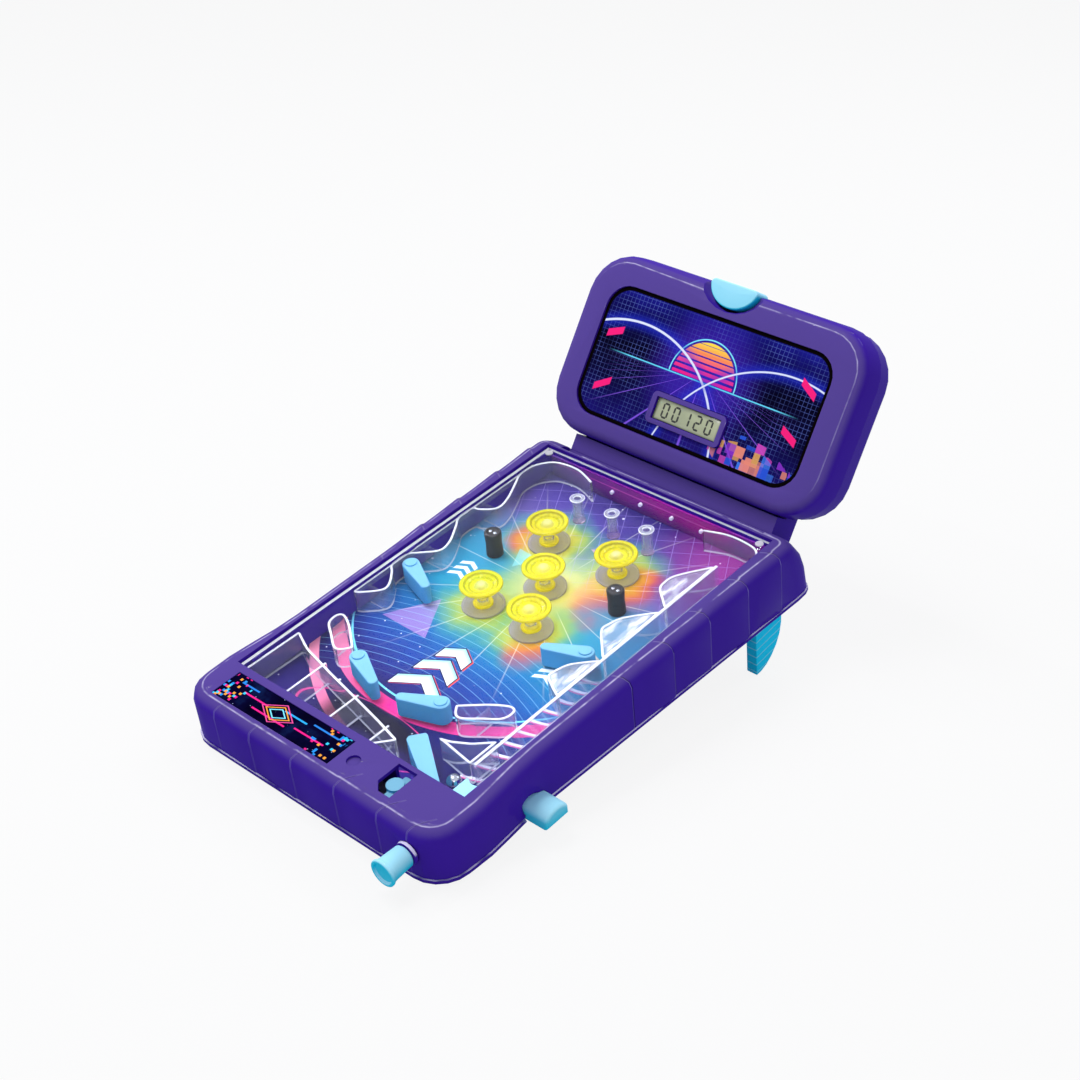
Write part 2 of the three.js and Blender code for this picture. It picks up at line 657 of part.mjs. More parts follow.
// Case outline, anticlockwise from the front left: each stop has a place, an outward normal and a
// plate height
function caseStops() {
  const frontSide = CASE_FRONT + FRONT_CORNER_RADIUS;
  const backSide = CASE_BACK - BACK_CORNER_RADIUS;
  const run = backSide - frontSide;
  const profile = new THREE.SplineCurve(SIDE_PROFILE_SHARES.map(([s, w]) => new THREE.Vector2(s, w)));
  const sideStops = [];
  for (let i = 0; i <= SIDE_SMOOTH_STEPS; i += 1) {
    sideStops.push({ share: (SIDE_SMOOTH_END_SHARE * i) / SIDE_SMOOTH_STEPS, lip: true });
  }
  sideStops.push(...plateStops(SIDE_PLATE_SHARES), { share: 1, lip: true });
  const table = profile.getPoints(SIDE_PROFILE_SHARES.length * CORNER_STEPS);
  const widthAt = (share) => {
    const k = Math.max(1, table.findIndex((p) => p.x >= share));
    const [a, b] = [table[k - 1], table[k]];
    return CASE_HALF_WIDTH * (a.y + ((b.y - a.y) * (share - a.x)) / (b.x - a.x));
  };
  const right = [];
  const frontX = widthAt(0) - FRONT_CORNER_RADIUS;
  for (let i = 0; i < CORNER_STEPS; i += 1) {
    const a = (-Math.PI / 2) * (1 - i / CORNER_STEPS);
    right.push({
      x: frontX + FRONT_CORNER_RADIUS * Math.cos(a), y: frontSide + FRONT_CORNER_RADIUS * Math.sin(a),
      nx: Math.cos(a), ny: Math.sin(a), plate: 0, lip: true,
    });
  }
  for (const { share, lip } of sideStops) {
    const rise = PLATE_RISE * plateRise(share, SIDE_PLATE_SHARES);
    right.push({ x: widthAt(share), y: frontSide + share * run, nx: 1, ny: 0, plate: rise, lip });
  }
  const backX = widthAt(1) - BACK_CORNER_RADIUS;
  for (let i = 1; i <= CORNER_STEPS; i += 1) {
    const a = (Math.PI / 2) * (i / CORNER_STEPS);
    right.push({
      x: backX + BACK_CORNER_RADIUS * Math.cos(a), y: backSide + BACK_CORNER_RADIUS * Math.sin(a),
      nx: Math.cos(a), ny: Math.sin(a), plate: 0, lip: true,
    });
  }
  const left = right.map((p) => ({ ...p, x: -p.x, nx: -p.nx })).reverse();
  const front = [];
  for (const { share, lip } of plateStops(FRONT_PLATE_SHARES)) {
    const rise = FRONT_PLATE_RISE * plateRise(share, FRONT_PLATE_SHARES);
    front.push({ x: (2 * share - 1) * frontX, y: CASE_FRONT, nx: 0, ny: -1, plate: rise, lip });
  }
  return [...front, ...right, ...left];
}

const CASE_STOPS = caseStops();

// One ring of the case: drawn in by an inset, at a height given for each y, with a share of plates
// and flare
function caseRing(inset, heightAt, plateShare, flareShare) {
  return ringOf(CASE_STOPS, inset, heightAt, plateShare, flareShare);
}

// The same ring without plates, on fewer stops
function lipRing(inset, heightAt, flareShare) {
  return ringOf(CASE_STOPS.filter(({ lip }) => lip), inset, heightAt, 0, flareShare);
}

function ringOf(stops, inset, heightAt, plateShare, flareShare) {
  return stops.map(({ x, y, nx, ny, plate }) => {
    const out = plate * plateShare - inset;
    const back = THREE.MathUtils.smoothstep(y, CASE_BACK - 2 * FLARE_REACH, CASE_BACK - FLARE_REACH / 2);
    const placeY = y + ny * out + back * BACK_FLARE * flareShare;
    return new THREE.Vector3(x + nx * out, placeY, heightAt(placeY));
  });
}

// Outer form of the upper case, or its hollow when drawn in by a wall
function caseBody(wall, footLift, topCut) {
  const steps = wall > 0 ? HOLLOW_ROLL_STEPS : ROLL_STEPS;
  const top = RIM_RISE - topCut;
  const roll = RIM_ROLL - wall / 2;
  const level = (z) => () => z;
  const rings = [
    caseRing(RIM_DRAFT + wall, (y) => undersideAt(y) + footLift, PLATE_SHARES[2], FLARE_SHARES[3]),
    caseRing(RIM_DRAFT + wall, level(-WALL_KNEE_DEPTH), PLATE_SHARES[1], FLARE_SHARES[2]),
    caseRing(RIM_DRAFT + wall, level(-WALL_BEND_DEPTH), PLATE_SHARES[0], FLARE_SHARES[1]),
  ];
  for (let i = 0; i <= steps; i += 1) {
    const a = (Math.PI / 2) * (i / steps);
    const inset = RIM_DRAFT + wall + roll * (1 - Math.cos(a));
    const fall = 1 - Math.sin(a);
    rings.push(caseRing(inset, level(top - roll * fall), 1, FLARE_SHARES[0] * fall));
  }
  return loft(rings);
}

// Frames of the parts that stand out of the table frame
function headFrame(object) {
  object.position.set(0, HALF_WINDOW_LENGTH + HEAD_BACK_OFFSET, HEAD_RISE);
  object.rotation.x = HEAD_TURN;
  return object;
}

function undersideFrame(object) {
  object.position.set(0, CASE_FRONT, -CASE_FRONT_DEPTH);
  object.rotation.x = -Math.atan(UNDERSIDE_SLOPE);
  return object;
}

function moved(body, place) {
  const frame = place(new THREE.Object3D());
  frame.updateMatrix();
  return body.transform(frame.matrix.elements);
}

function flipperPivots() {
  const lowerY = LOWER_PIVOT_SHARE * HALF_WINDOW_LENGTH;
  const upperY = UPPER_PIVOT_SHARE * HALF_WINDOW_LENGTH;
  return [
    { row: "lower", side: -1, x: FLIPPER_CENTRE - LOWER_PIVOT_HALF_SPACING, y: lowerY },
    { row: "lower", side: 1, x: FLIPPER_CENTRE + LOWER_PIVOT_HALF_SPACING, y: lowerY },
    { row: "upper", side: -1, x: UPPER_LEFT_INSET - HALF_WINDOW_WIDTH, y: upperY },
    { row: "upper", side: 1, x: DIVIDER_FACE - UPPER_RIGHT_INSET, y: upperY },
  ];
}

// Button section: flat foot, straight sides and an arched top, drawn in by an inset, at a height z
function buttonSection(inset, z) {
  const half = BUTTON_WIDTH / 2 - inset;
  const height = BUTTON_HEIGHT - 2 * inset;
  const points = [new THREE.Vector3(-half, inset, z), new THREE.Vector3(half, inset, z)];
  for (let i = 0; i <= 2 * CORNER_STEPS; i += 1) {
    const a = (Math.PI * i) / (2 * CORNER_STEPS);
    const rise = height * (BUTTON_SIDE_SHARE + (1 - BUTTON_SIDE_SHARE) * Math.sin(a));
    points.push(new THREE.Vector3(half * Math.cos(a), inset + rise, z));
  }
  return points;
}

const BUTTON_Y = BUTTON_CENTRE_SHARE * HALF_WINDOW_LENGTH;
const BUTTON_BOTTOM = undersideAt(BUTTON_Y) + BUTTON_LIFT;
const BUTTON_WALL_REACH = CASE_HALF_WIDTH * SIDE_PROFILE_SHARES[3][1];
const BUTTON_PUSHED_REACH = BUTTON_WALL_REACH - BUTTON_ROOT - BUTTON_TRAVEL;

// Bar with the button's section along X on one side, between two reaches, with a rounded end or none
function buttonBar(side, from, to, room, round) {
  const length = to - from;
  const rings = [buttonSection(-room, 0), buttonSection(-room, length - round)];
  if (round > 0) {
    for (let i = 1; i <= ROLL_STEPS; i += 1) {
      const a = (Math.PI / 2) * (i / ROLL_STEPS);
      rings.push(buttonSection(round * (1 - Math.cos(a)), length - round * (1 - Math.sin(a))));
    }
  }
  const frame = new THREE.Matrix4().makeBasis(
    new THREE.Vector3(0, side, 0), new THREE.Vector3(0, 0, 1), new THREE.Vector3(side, 0, 0),
  );
  frame.setPosition(side * from, BUTTON_Y, BUTTON_BOTTOM);
  return loft(rings).transform(frame.elements);
}

function ellipsoid(rx, ry, rz, x, y, z) {
  const ball = new THREE.SphereGeometry(1, ROUND_SEGMENTS, SMALL_SEGMENTS);
  return solid(ball.scale(rx, ry, rz).translate(x, y, z));
}

function buttonScoop(side, grow) {
  const reach = BUTTON_WALL_REACH - RIM_DRAFT + SCOOP_HEIGHT - SCOOP_DEPTH;
  const middle = BUTTON_BOTTOM + BUTTON_HEIGHT / 2;
  const radii = [SCOOP_HEIGHT + grow, SCOOP_LENGTH / 2 + grow, SCOOP_HEIGHT / 2 + grow];
  return ellipsoid(...radii, side * reach, BUTTON_Y - SCOOP_LENGTH / 8, middle + SCOOP_HEIGHT / 8);
}

// Space that the neck fills, grown by a margin
function neckSpace(margin) {
  const half = NECK_HALF_WIDTH + margin;
  const box = block(
    -half, half, -NECK_FOOT_DROP - margin, 0, -NECK_BACK_DEPTH - 2 * SEAT_WALL,
    -NECK_FRONT_DEPTH + margin,
  );
  return moved(box, headFrame);
}

function ledgeSpace(margin) {
  const half = NECK_HALF_WIDTH + margin;
  const front = HALF_WINDOW_LENGTH + WELL_WALL;
  const near = margin > GAP ? front - margin : front;
  return block(-half, half, near, front + LEDGE_LENGTH, -LEDGE_DEPTH - margin + GAP, RIM_RISE + OVERRUN);
}

function plugBoxes(room) {
  return [-1, 1].map((side) => {
    const x = side * PLUG_HALF_SPACING;
    const middle = -(NECK_FRONT_DEPTH + NECK_BACK_DEPTH) / 2;
    const box = block(
      x - PLUG_WIDTH / 2 - room, x + PLUG_WIDTH / 2 + room, -NECK_FOOT_DROP - PLUG_LENGTH - room,
      -NECK_FOOT_DROP + FUSE, middle - PLUG_THICKNESS / 2 - room, middle + PLUG_THICKNESS / 2 + room,
    );
    return moved(box, headFrame);
  });
}

function labelPlace() {
  const middle = CASE_FRONT + FRONT_MARGIN / 2 + LABEL_RECESS;
  return [LABEL_START_SHARE * HALF_WINDOW_WIDTH + LABEL_WIDTH / 2, middle + LABEL_RECESS];
}

function pocketOutline() {
  const [right, back] = [POCKET_RIGHT_SHARE * HALF_WINDOW_WIDTH, -HALF_WINDOW_LENGTH - POCKET_SETBACK];
  const [left, front] = [right - POCKET_WIDTH, back - POCKET_LENGTH];
  return [
    [left + POCKET_CHAMFER, front], [right, front], [right, back], [left, back],
    [left, front + POCKET_CHAMFER],
  ];
}

function upperShell() {
  const outer = caseBody(0, LIP_HEIGHT + GAP, 0);
  const hollow = caseBody(SHELL_WALL, -OVERRUN, SHELL_WALL);
  const hw = HALF_WINDOW_WIDTH;
  const hl = HALF_WINDOW_LENGTH;
  const wellOuter = block(
    -hw - WELL_WALL, hw + WELL_WALL, -hl - WELL_WALL, hl + WELL_WALL, RAIL_BOTTOM, FUSE,
  );
  const seat = joined([neckSpace(SEAT_WALL + GAP), ledgeSpace(SEAT_WALL + GAP)]);
  const scoops = [-1, 1].map((side) => buttonScoop(side, SHELL_WALL));
  let shell = outer.subtract(hollow);
  shell = joined([shell, wellOuter, outer.intersect(seat), ...scoops.map((s) => outer.intersect(s))]);
  const front = -hl - WELL_WALL;
  const window = block(-hw, hw, -hl, hl, RAIL_BOTTOM - OVERRUN, RIM_RISE + OVERRUN);
  const gate = block(
    GATE_START_SHARE * hw, hw - GAP, front - OVERRUN, -hl + OVERRUN, RAIL_BOTTOM - OVERRUN,
    COVER_BOTTOM - GAP,
  );
  const [labelX, labelY] = labelPlace();
  const lw = LABEL_WIDTH / 2 + GAP;
  const ll = LABEL_LENGTH / 2 + GAP;
  const recess = block(
    labelX - lw, labelX + lw, labelY - ll, labelY + ll, RIM_RISE - LABEL_RECESS, RIM_RISE + OVERRUN,
  );
  const [dimpleX, dimpleY] = [DIMPLE_SHARE * hw, labelY - GAP];
  const dimple = drum(DIMPLE_RADIUS, dimpleX, dimpleY, RIM_RISE - DIMPLE_DEPTH, RIM_RISE + OVERRUN);
  const pocket = prism(pocketOutline(), -SHELL_WALL, RIM_RISE + OVERRUN);
  const plungerHole = drumAlongY(
    BUSHING_SLEEVE_RADIUS + GAP, LANE_CENTRE, -PLUNGER_DEPTH, CASE_FRONT - OVERRUN, front,
  );
  const flangeSeat = drumAlongY(
    BUSHING_FLANGE_RADIUS + GAP, LANE_CENTRE, -PLUNGER_DEPTH, CASE_FRONT - 2 * OVERRUN,
    CASE_FRONT + RIM_DRAFT,
  );
  const buttons = [-1, 1].flatMap((side) => [
    buttonScoop(side, 0),
    buttonPassage(side),
    notchBelow(side),
  ]);
  shell = cut(shell, [
    window, gate, recess, dimple, pocket, plungerHole, flangeSeat, ...buttons, neckSpace(GAP),
    ledgeSpace(0), ...plugBoxes(GAP),
  ]);
  return joined([shell, seatStrip(), ...coverTabs()]);
}

// Passage of a button through the case's wall, long enough for its travel
function buttonPassage(side) {
  return buttonBar(side, BUTTON_PUSHED_REACH, CASE_HALF_WIDTH + OVERRUN, RUNNING_GAP, 0);
}

// Opening under a button, down through the case's foot edge
function notchBelow(side) {
  const half = BUTTON_WIDTH / 2 + RUNNING_GAP;
  const from = side * BUTTON_PUSHED_REACH;
  const to = side * (CASE_HALF_WIDTH + OVERRUN);
  const foot = BUTTON_BOTTOM - 2 * LIP_HEIGHT;
  return block(from, to, BUTTON_Y - half, BUTTON_Y + half, foot, BUTTON_BOTTOM + BUTTON_HEIGHT / 3);
}

// Small ledges that the cover rests on
function coverTabs() {
  const top = COVER_BOTTOM - GAP;
  const hw = HALF_WINDOW_WIDTH;
  const hl = HALF_WINDOW_LENGTH;
  const tabs = [];
  for (const sx of [-1, 1]) {
    for (const sy of COVER_TAB_SHARES) {
      const y = sy * (hl - COVER_TAB_LENGTH);
      const reach = sx * (hw - COVER_TAB_REACH);
      tabs.push(block(reach, sx * (hw + FUSE), y, y + COVER_TAB_LENGTH, top - COVER_TAB_THICKNESS, top));
    }
  }
  return tabs;
}

// Raised strip along the ledge, in front of the neck
function seatStrip() {
  const middle = HALF_WINDOW_LENGTH + WELL_WALL + LEDGE_LENGTH / 2 - STRIP_LENGTH / 2;
  const half = STRIP_WIDTH / 2;
  return block(
    -half, half, middle - STRIP_LENGTH / 2, middle + STRIP_LENGTH / 2, -LEDGE_DEPTH - SEAT_WALL / 2,
    -LEDGE_DEPTH + STRIP_HEIGHT,
  );
}

function legSpace(side, room) {
  const outer = LEG_OUTER_REACH + room;
  const inner = LEG_OUTER_REACH - LEG_THICKNESS - room;
  const front = LEG_PIVOT_BACK - LEG_FRONT_REACH - room;
  return block(
    side * inner, side * outer, front, front + LEG_SLOT_LENGTH, -2 * CASE_FRONT_DEPTH,
    -LEG_PIVOT_DEPTH + LEG_FIN_REACH + room,
  );
}

function legEars(side) {
  const y = LEG_PIVOT_BACK;
  const z = -LEG_PIVOT_DEPTH;
  const foot = undersideAt(y) + FLOOR_THICKNESS / 2;
  const outer = LEG_OUTER_REACH + GAP;
  const inner = LEG_OUTER_REACH - LEG_THICKNESS - GAP;
  return [[outer, outer + LEG_EAR_WALL], [inner - LEG_EAR_WALL, inner]].map(([a, b]) => {
    const [x0, x1] = side > 0 ? [a, b] : [-b, -a];
    const boss = drumAlongX(LEG_EAR_RADIUS, x0, x1, y, z);
    return boss.add(block(x0, x1, y - LEG_EAR_RADIUS, y + LEG_EAR_RADIUS, foot, z));
  });
}

function legPinHole(side) {
  const ends = [
    LEG_OUTER_REACH + LEG_PIN_LENGTH + GAP, LEG_OUTER_REACH - LEG_THICKNESS - LEG_PIN_LENGTH - GAP,
  ];
  const [x0, x1] = side > 0 ? [ends[1], ends[0]] : [-ends[0], -ends[1]];
  return drumAlongX(LEG_PIN_RADIUS + GAP, x0, x1, LEG_PIVOT_BACK, -LEG_PIVOT_DEPTH);
}

function lowerShell() {
  const foot = (lift) => (y) => undersideAt(y) + lift;
  const upInset = RIM_DRAFT + SHELL_WALL + GAP;
  const rimTop = LIP_HEIGHT + UPSTAND_HEIGHT;
  const plate = loft([lipRing(0, foot(0), 1), lipRing(0, foot(LIP_HEIGHT), 1)]);
  const upstand = loft([
    lipRing(upInset, foot(FUSE), 1), lipRing(upInset, foot(rimTop), UPSTAND_FLARE_SHARE),
  ]);
  const upInner = upInset + UPSTAND_WALL;
  const room = loft([
    lipRing(upInner, foot(LIP_HEIGHT), 1), lipRing(upInner, foot(rimTop + OVERRUN), UPSTAND_FLARE_SHARE),
  ]);
  let shell = plate.add(upstand).subtract(room);
  const posts = DECK_POST_SHARES.map((s) => {
    const [x, y] = at(s);
    const footing = undersideAt(y) + FLOOR_THICKNESS / 2;
    return drum(DECK_POST_RADIUS, x, y, footing, DECK_BOTTOM - GAP, SMALL_SEGMENTS);
  });
  const bw = DOOR_WIDTH / 2 + BAY_WALL;
  const [bayStart, bayEnd] = [DOOR_START - BAY_WALL, DOOR_START + DOOR_LENGTH + BAY_WALL];
  const bay = moved(block(-bw, bw, bayStart, bayEnd, FUSE, BAY_HEIGHT), undersideFrame);
  shell = joined([shell, ...posts, bay]);
  const buttons = [-1, 1].flatMap((side) => [notchBelow(side), buttonPassage(side)]);
  const scoops = [-1, 1].map((side) => buttonScoop(side, SHELL_WALL + GAP));
  const legs = [-1, 1].map((side) => legSpace(side, GAP));
  shell = cut(shell, [...undersideCuts(), ...buttons, ...scoops, ...legs]);
  return cut(joined([shell, ...legEars(1), ...legEars(-1)]), [-1, 1].map(legPinHole));
}

// Openings of the underside: battery bay, speaker holes, switch slot and foot seats
function undersideCuts() {
  const dw = DOOR_WIDTH / 2;
  const lip = BAY_WALL;
  const end = DOOR_START + DOOR_LENGTH;
  const cuts = [
    block(-dw - GAP, dw + GAP, DOOR_START - GAP, end + GAP, -OVERRUN, DOOR_THICKNESS + GAP),
    block(-dw + lip, dw - lip, DOOR_START + 4 * lip, end - lip, 0, BAY_HEIGHT - BAY_WALL),
  ];
  for (let row = -2; row <= 2; row += 1) {
    for (let column = -2; column <= 2; column += 1) {
      const x = column * GRILLE_PITCH;
      const y = SPEAKER_START + row * GRILLE_PITCH;
      if (Math.hypot(row, column) > 2) continue;
      cuts.push(drum(GRILLE_HOLE_RADIUS, x, y, -OVERRUN, FLOOR_THICKNESS + OVERRUN, HOLE_SEGMENTS));
    }
  }
  const slotWidth = SWITCH_KNOB_WIDTH + SWITCH_TRAVEL;
  const slotLength = SWITCH_KNOB_LENGTH / 2 + RUNNING_GAP;
  const start = SWITCH_OFFSET - SWITCH_KNOB_WIDTH / 2 - RUNNING_GAP;
  const [slotFront, slotBack] = [SWITCH_START - slotLength, SWITCH_START + slotLength];
  const slotTop = FLOOR_THICKNESS + OVERRUN;
  cuts.push(block(start, start + slotWidth + 2 * RUNNING_GAP, slotFront, slotBack, -OVERRUN, slotTop));
  for (const side of [-1, 1]) {
    cuts.push(drum(FOOT_RADIUS + GAP, side * FOOT_SIDE_REACH, FOOT_START, -OVERRUN, FOOT_SEAT + GAP));
  }
  const [screwX, screwY] = doorScrewPlace();
  const shank = DOOR_SCREW_SHANK_RADIUS + GAP;
  cuts.push(drum(shank, screwX, screwY, 0, DOOR_SCREW_LENGTH + OVERRUN, SMALL_SEGMENTS));
  return cuts.map((body) => moved(body, undersideFrame));
}

function doorScrewPlace() {
  return [0, DOOR_START + 2 * BAY_WALL];
}

function playfieldDeck() {
  const hw = HALF_WINDOW_WIDTH + WELL_WALL - GAP;
  const hl = HALF_WINDOW_LENGTH + WELL_WALL - GAP;
  const plate = block(-hw, hw, -hl, hl, DECK_BOTTOM, DECK_TOP);
  const [tongueLeft, tongueRight] = TONGUE_SHARES.map((share) => share * HALF_WINDOW_WIDTH);
  const tongueFront = CASE_FRONT + (2 * RIM_ROLL) / 3;
  const tongue = block(tongueLeft, tongueRight, tongueFront, -hl + OVERRUN, DECK_BOTTOM, DECK_TOP);
  const [leverX, leverY] = at(LEVER_PIVOT_SHARE);
  const pinTop = -VANE_TOP_DEPTH - LEVER_ARM_THICKNESS;
  const pin = drum(LEVER_PIN_RADIUS, leverX, leverY, DECK_TOP - FUSE, pinTop, SMALL_SEGMENTS);
  const [under, over] = [DECK_BOTTOM - OVERRUN, DECK_TOP + OVERRUN];
  const holes = [
    ...flipperPivots().map(({ x, y }) => drum(FLIPPER_SHAFT_RADIUS + GAP, x, y, under, over)),
    ...BUMPER_SHARES.map((s) => drum(BUMPER_STEM_RADIUS + GAP, ...at(s), under, over, SMALL_SEGMENTS)),
  ];
  return cut(joined([plate, tongue, pin]), holes);
}

function clearCover() {
  const hw = HALF_WINDOW_WIDTH - GAP;
  const hl = HALF_WINDOW_LENGTH - GAP;
  const studs = [-1, 1].map((side) => {
    const x = side * (hw - 2 * COVER_STUD_RADIUS);
    const y = hl - 2 * COVER_STUD_RADIUS;
    return drum(COVER_STUD_RADIUS, x, y, -FUSE, COVER_STUD_HEIGHT, SMALL_SEGMENTS);
  });
  return joined([block(-hw, hw, -hl, hl, COVER_BOTTOM, 0), ...studs]);
}

// Clear pieces on the playfield
function leftSideRail() {
  const edge = -HALF_WINDOW_WIDTH;
  const places = LEFT_RAIL_SHARES.map(([x, y]) => [edge + x * RAIL_REACH, y * HALF_WINDOW_LENGTH]);
  return openWall(smooth(places, RAIL_POINTS), RAIL_WALL, RAIL_BOTTOM, -RAIL_TOP_DEPTH);
}

function rightCornerArch() {
  const points = smooth(RIGHT_ARCH_SHARES.map(at), ARCH_POINTS);
  return openWall(points, RAIL_WALL, RAIL_BOTTOM, -RAIL_TOP_DEPTH);
}

function laneDivider() {
  const x = DIVIDER_FACE;
  const start = DIVIDER_START_SHARE * HALF_WINDOW_LENGTH;
  const end = DIVIDER_END_SHARE * HALF_WINDOW_LENGTH;
  const wall = block(x, x + LANE_WALL, start, end, RAIL_BOTTOM, -RAIL_TOP_DEPTH);
  const blocks = DIVIDER_BLOCK_SHARES.map((shares) => {
    const face = smooth(
      shares.map(([out, y]) => [x - out * BLOCK_REACH, y * HALF_WINDOW_LENGTH]), BLOCK_POINTS,
    );
    const spine = x + LANE_WALL / 2;
    const outline = [...face, [spine, face[face.length - 1][1]], [spine, face[0][1]]];
    const floor = -RAIL_TOP_DEPTH - BLOCK_TOP_THICKNESS;
    const inner = insetPrism(outline, RAIL_WALL, RAIL_BOTTOM - OVERRUN, floor);
    return prism(outline, RAIL_BOTTOM, -RAIL_TOP_DEPTH).subtract(inner);
  });
  return joined([wall, ...blocks]);
}

function leftApron() {
  const outline = LEFT_APRON_SHARES.map(at);
  const wall = closedWall(outline, RAIL_WALL, RAIL_BOTTOM, -RAIL_TOP_DEPTH);
  const inside = prism(outline, RAIL_BOTTOM, -RAIL_TOP_DEPTH);
  const ribs = LEFT_APRON_RIB_SHARES.map(([x, y]) => {
    const [px, py] = at([x, y]);
    const [x0, x1] = [px - RAIL_WALL / 2, px + RAIL_WALL / 2];
    const top = -RAIL_TOP_DEPTH - RAIL_WALL;
    return block(x0, x1, -HALF_WINDOW_LENGTH, py + RAIL_WALL, RAIL_BOTTOM, top).intersect(inside);
  });
  return joined([wall, ...ribs]);
}

function rightApron() {
  const outline = RIGHT_APRON_SHARES.map(([x, y]) => [x * DIVIDER_FACE, y * HALF_WINDOW_LENGTH]);
  return closedWall(outline, RAIL_WALL, RAIL_BOTTOM, -RAIL_TOP_DEPTH);
}

function slingshot(side) {
  const middleShare = FLIPPER_CENTRE_SHARE;
  const shares = SLING_SHARES.map(([x, y]) => [middleShare + side * (x - middleShare), y]);
  const outline = smooth([...shares, shares[0]].map(at), SLING_POINTS).slice(0, -1);
  const wall = closedWall(outline, SLING_WALL, RAIL_BOTTOM, -SLING_TOP_DEPTH);
  const xs = outline.map(([x]) => x);
  const middle = (Math.min(...xs) + Math.max(...xs)) / 2;
  const [x0, x1] = [middle - SLING_WALL / 2, middle + SLING_WALL / 2];
  const rib = block(x0, x1, -HALF_WINDOW_LENGTH, 0, RAIL_BOTTOM, -SLING_TOP_DEPTH - SLING_WALL);
  return wall.add(rib.intersect(prism(outline, RAIL_BOTTOM, -SLING_TOP_DEPTH)));
}

function backBand() {
  const back = HALF_WINDOW_LENGTH - GAP;
  const half = BAND_WIDTH_SHARE * HALF_WINDOW_WIDTH;
  const band = block(-half, half, back - BAND_THICKNESS, back, RAIL_BOTTOM, RAIL_BOTTOM + BAND_HEIGHT);
  const middle = RAIL_BOTTOM + BAND_HEIGHT / 2;
  const pegs = BAND_PEG_SHARES.map((share) => {
    const front = back - BAND_THICKNESS - BAND_PEG_LENGTH;
    const x = share * WINDOW_WIDTH;
    return drumAlongY(BAND_PEG_RADIUS, x, middle, front, back - FUSE, SMALL_SEGMENTS);
  });
  return joined([band, ...pegs]);
}

// Flipper: blade along its own X from a pivot at its origin, with shaft, crank and crank pin below
// the deck
function flipper(side) {
  const rootX = 0;
  const tipX = side * (FLIPPER_LENGTH - FLIPPER_TIP_RADIUS);
  const lean = Math.acos((FLIPPER_ROOT_RADIUS - FLIPPER_TIP_RADIUS) / Math.abs(tipX - rootX));
  const outline = [];
  const arc = (cx, radius, from, to) => {
    for (let i = 0; i <= CORNER_STEPS; i += 1) {
      const a = from + ((to - from) * i) / CORNER_STEPS;
      outline.push([cx + side * radius * Math.cos(a), radius * Math.sin(a)]);
    }
  };
  arc(tipX, FLIPPER_TIP_RADIUS, -lean, lean);
  arc(rootX, FLIPPER_ROOT_RADIUS, lean, 2 * Math.PI - lean);
  const top = -FLIPPER_TOP_DEPTH;
  const under = DECK_BOTTOM - RUNNING_GAP;
  const link = under - CRANK_THICKNESS;
  const half = CRANK_WIDTH / 2;
  const pinEnd = link - LINK_THICKNESS - RUNNING_GAP - FUSE;
  return joined([
    prism(outline, top - FLIPPER_HEIGHT, top),
    drum(FLIPPER_CAP_RADIUS, 0, 0, top - FUSE, top + FLIPPER_CAP_HEIGHT),
    drum(FLIPPER_SHAFT_RADIUS, 0, 0, link, top - FUSE),
    block(-half, half, -CRANK_RADIUS - half, half, link, under),
    drum(CRANK_PIN_RADIUS, 0, -CRANK_RADIUS, pinEnd, link + FUSE, SMALL_SEGMENTS),
  ]);
}

// Button with the flat link that drives both flippers of its side
function flipperButton(side) {
  const wall = BUTTON_WALL_REACH;
  const tip = wall + BUTTON_REACH;
  const bar = buttonBar(side, wall - BUTTON_ROOT + RUNNING_GAP, tip, 0, BUTTON_ROUND);
  const linkTop = DECK_BOTTOM - RUNNING_GAP - CRANK_THICKNESS - RUNNING_GAP;
  const linkBottom = linkTop - LINK_THICKNESS;
  const pivots = flipperPivots().filter((p) => p.side === side);
  const [lower, upper] = [pivots.find((p) => p.row === "lower"), pivots.find((p) => p.row === "upper")];
  const pinX = (p) => p.x + side * CRANK_RADIUS * Math.sin(FLIPPER_SWING / 2);
  const pinY = (p) => p.y - CRANK_RADIUS * Math.cos(FLIPPER_SWING / 2);
  const outer = side * (wall - BUTTON_ROOT + OVERRUN + RUNNING_GAP);
  const inner = pinX(lower) - side * LINK_WIDTH;
  const crossY = pinY(lower);
  const halfLink = LINK_WIDTH / 2;
  const cross = block(inner, outer, crossY - halfLink, crossY + halfLink, linkBottom, linkTop);
  const riser = block(
    side * (wall - BUTTON_ROOT + RUNNING_GAP), side * (wall - BUTTON_ROOT + LINK_THICKNESS + RUNNING_GAP),
    BUTTON_Y - BUTTON_WIDTH / 4, crossY + LINK_WIDTH / 2, BUTTON_BOTTOM + OVERRUN, linkTop,
  );
  const limbX = pinX(upper);
  const limb = block(
    limbX - halfLink, limbX + halfLink, crossY, pinY(upper) + halfLink, linkBottom, linkTop,
  );
  const slots = [lower, upper].map((p) => {
    const [x, y] = [pinX(p), pinY(p) - LINK_SLOT_ROOM / 2];
    const half = CRANK_PIN_RADIUS + GAP;
    const [near, far] = [y - half - LINK_SLOT_ROOM, y + half + LINK_SLOT_ROOM / 2];
    return block(x - half, x + half, near, far, linkBottom - OVERRUN, linkTop + OVERRUN);
  });
  return cut(joined([bar, riser, cross, limb]), slots);
}

// Plunger pieces, all about one axis along Y
const PLUNGER_HEAD_BACK = PLUNGER_HEAD_SHARE * HALF_WINDOW_LENGTH;
const BUSHING_FACE = CASE_FRONT + RIM_DRAFT - GAP;
const KNOB_ROOT = BUSHING_FACE - BUSHING_FLANGE_THICKNESS - GAP;

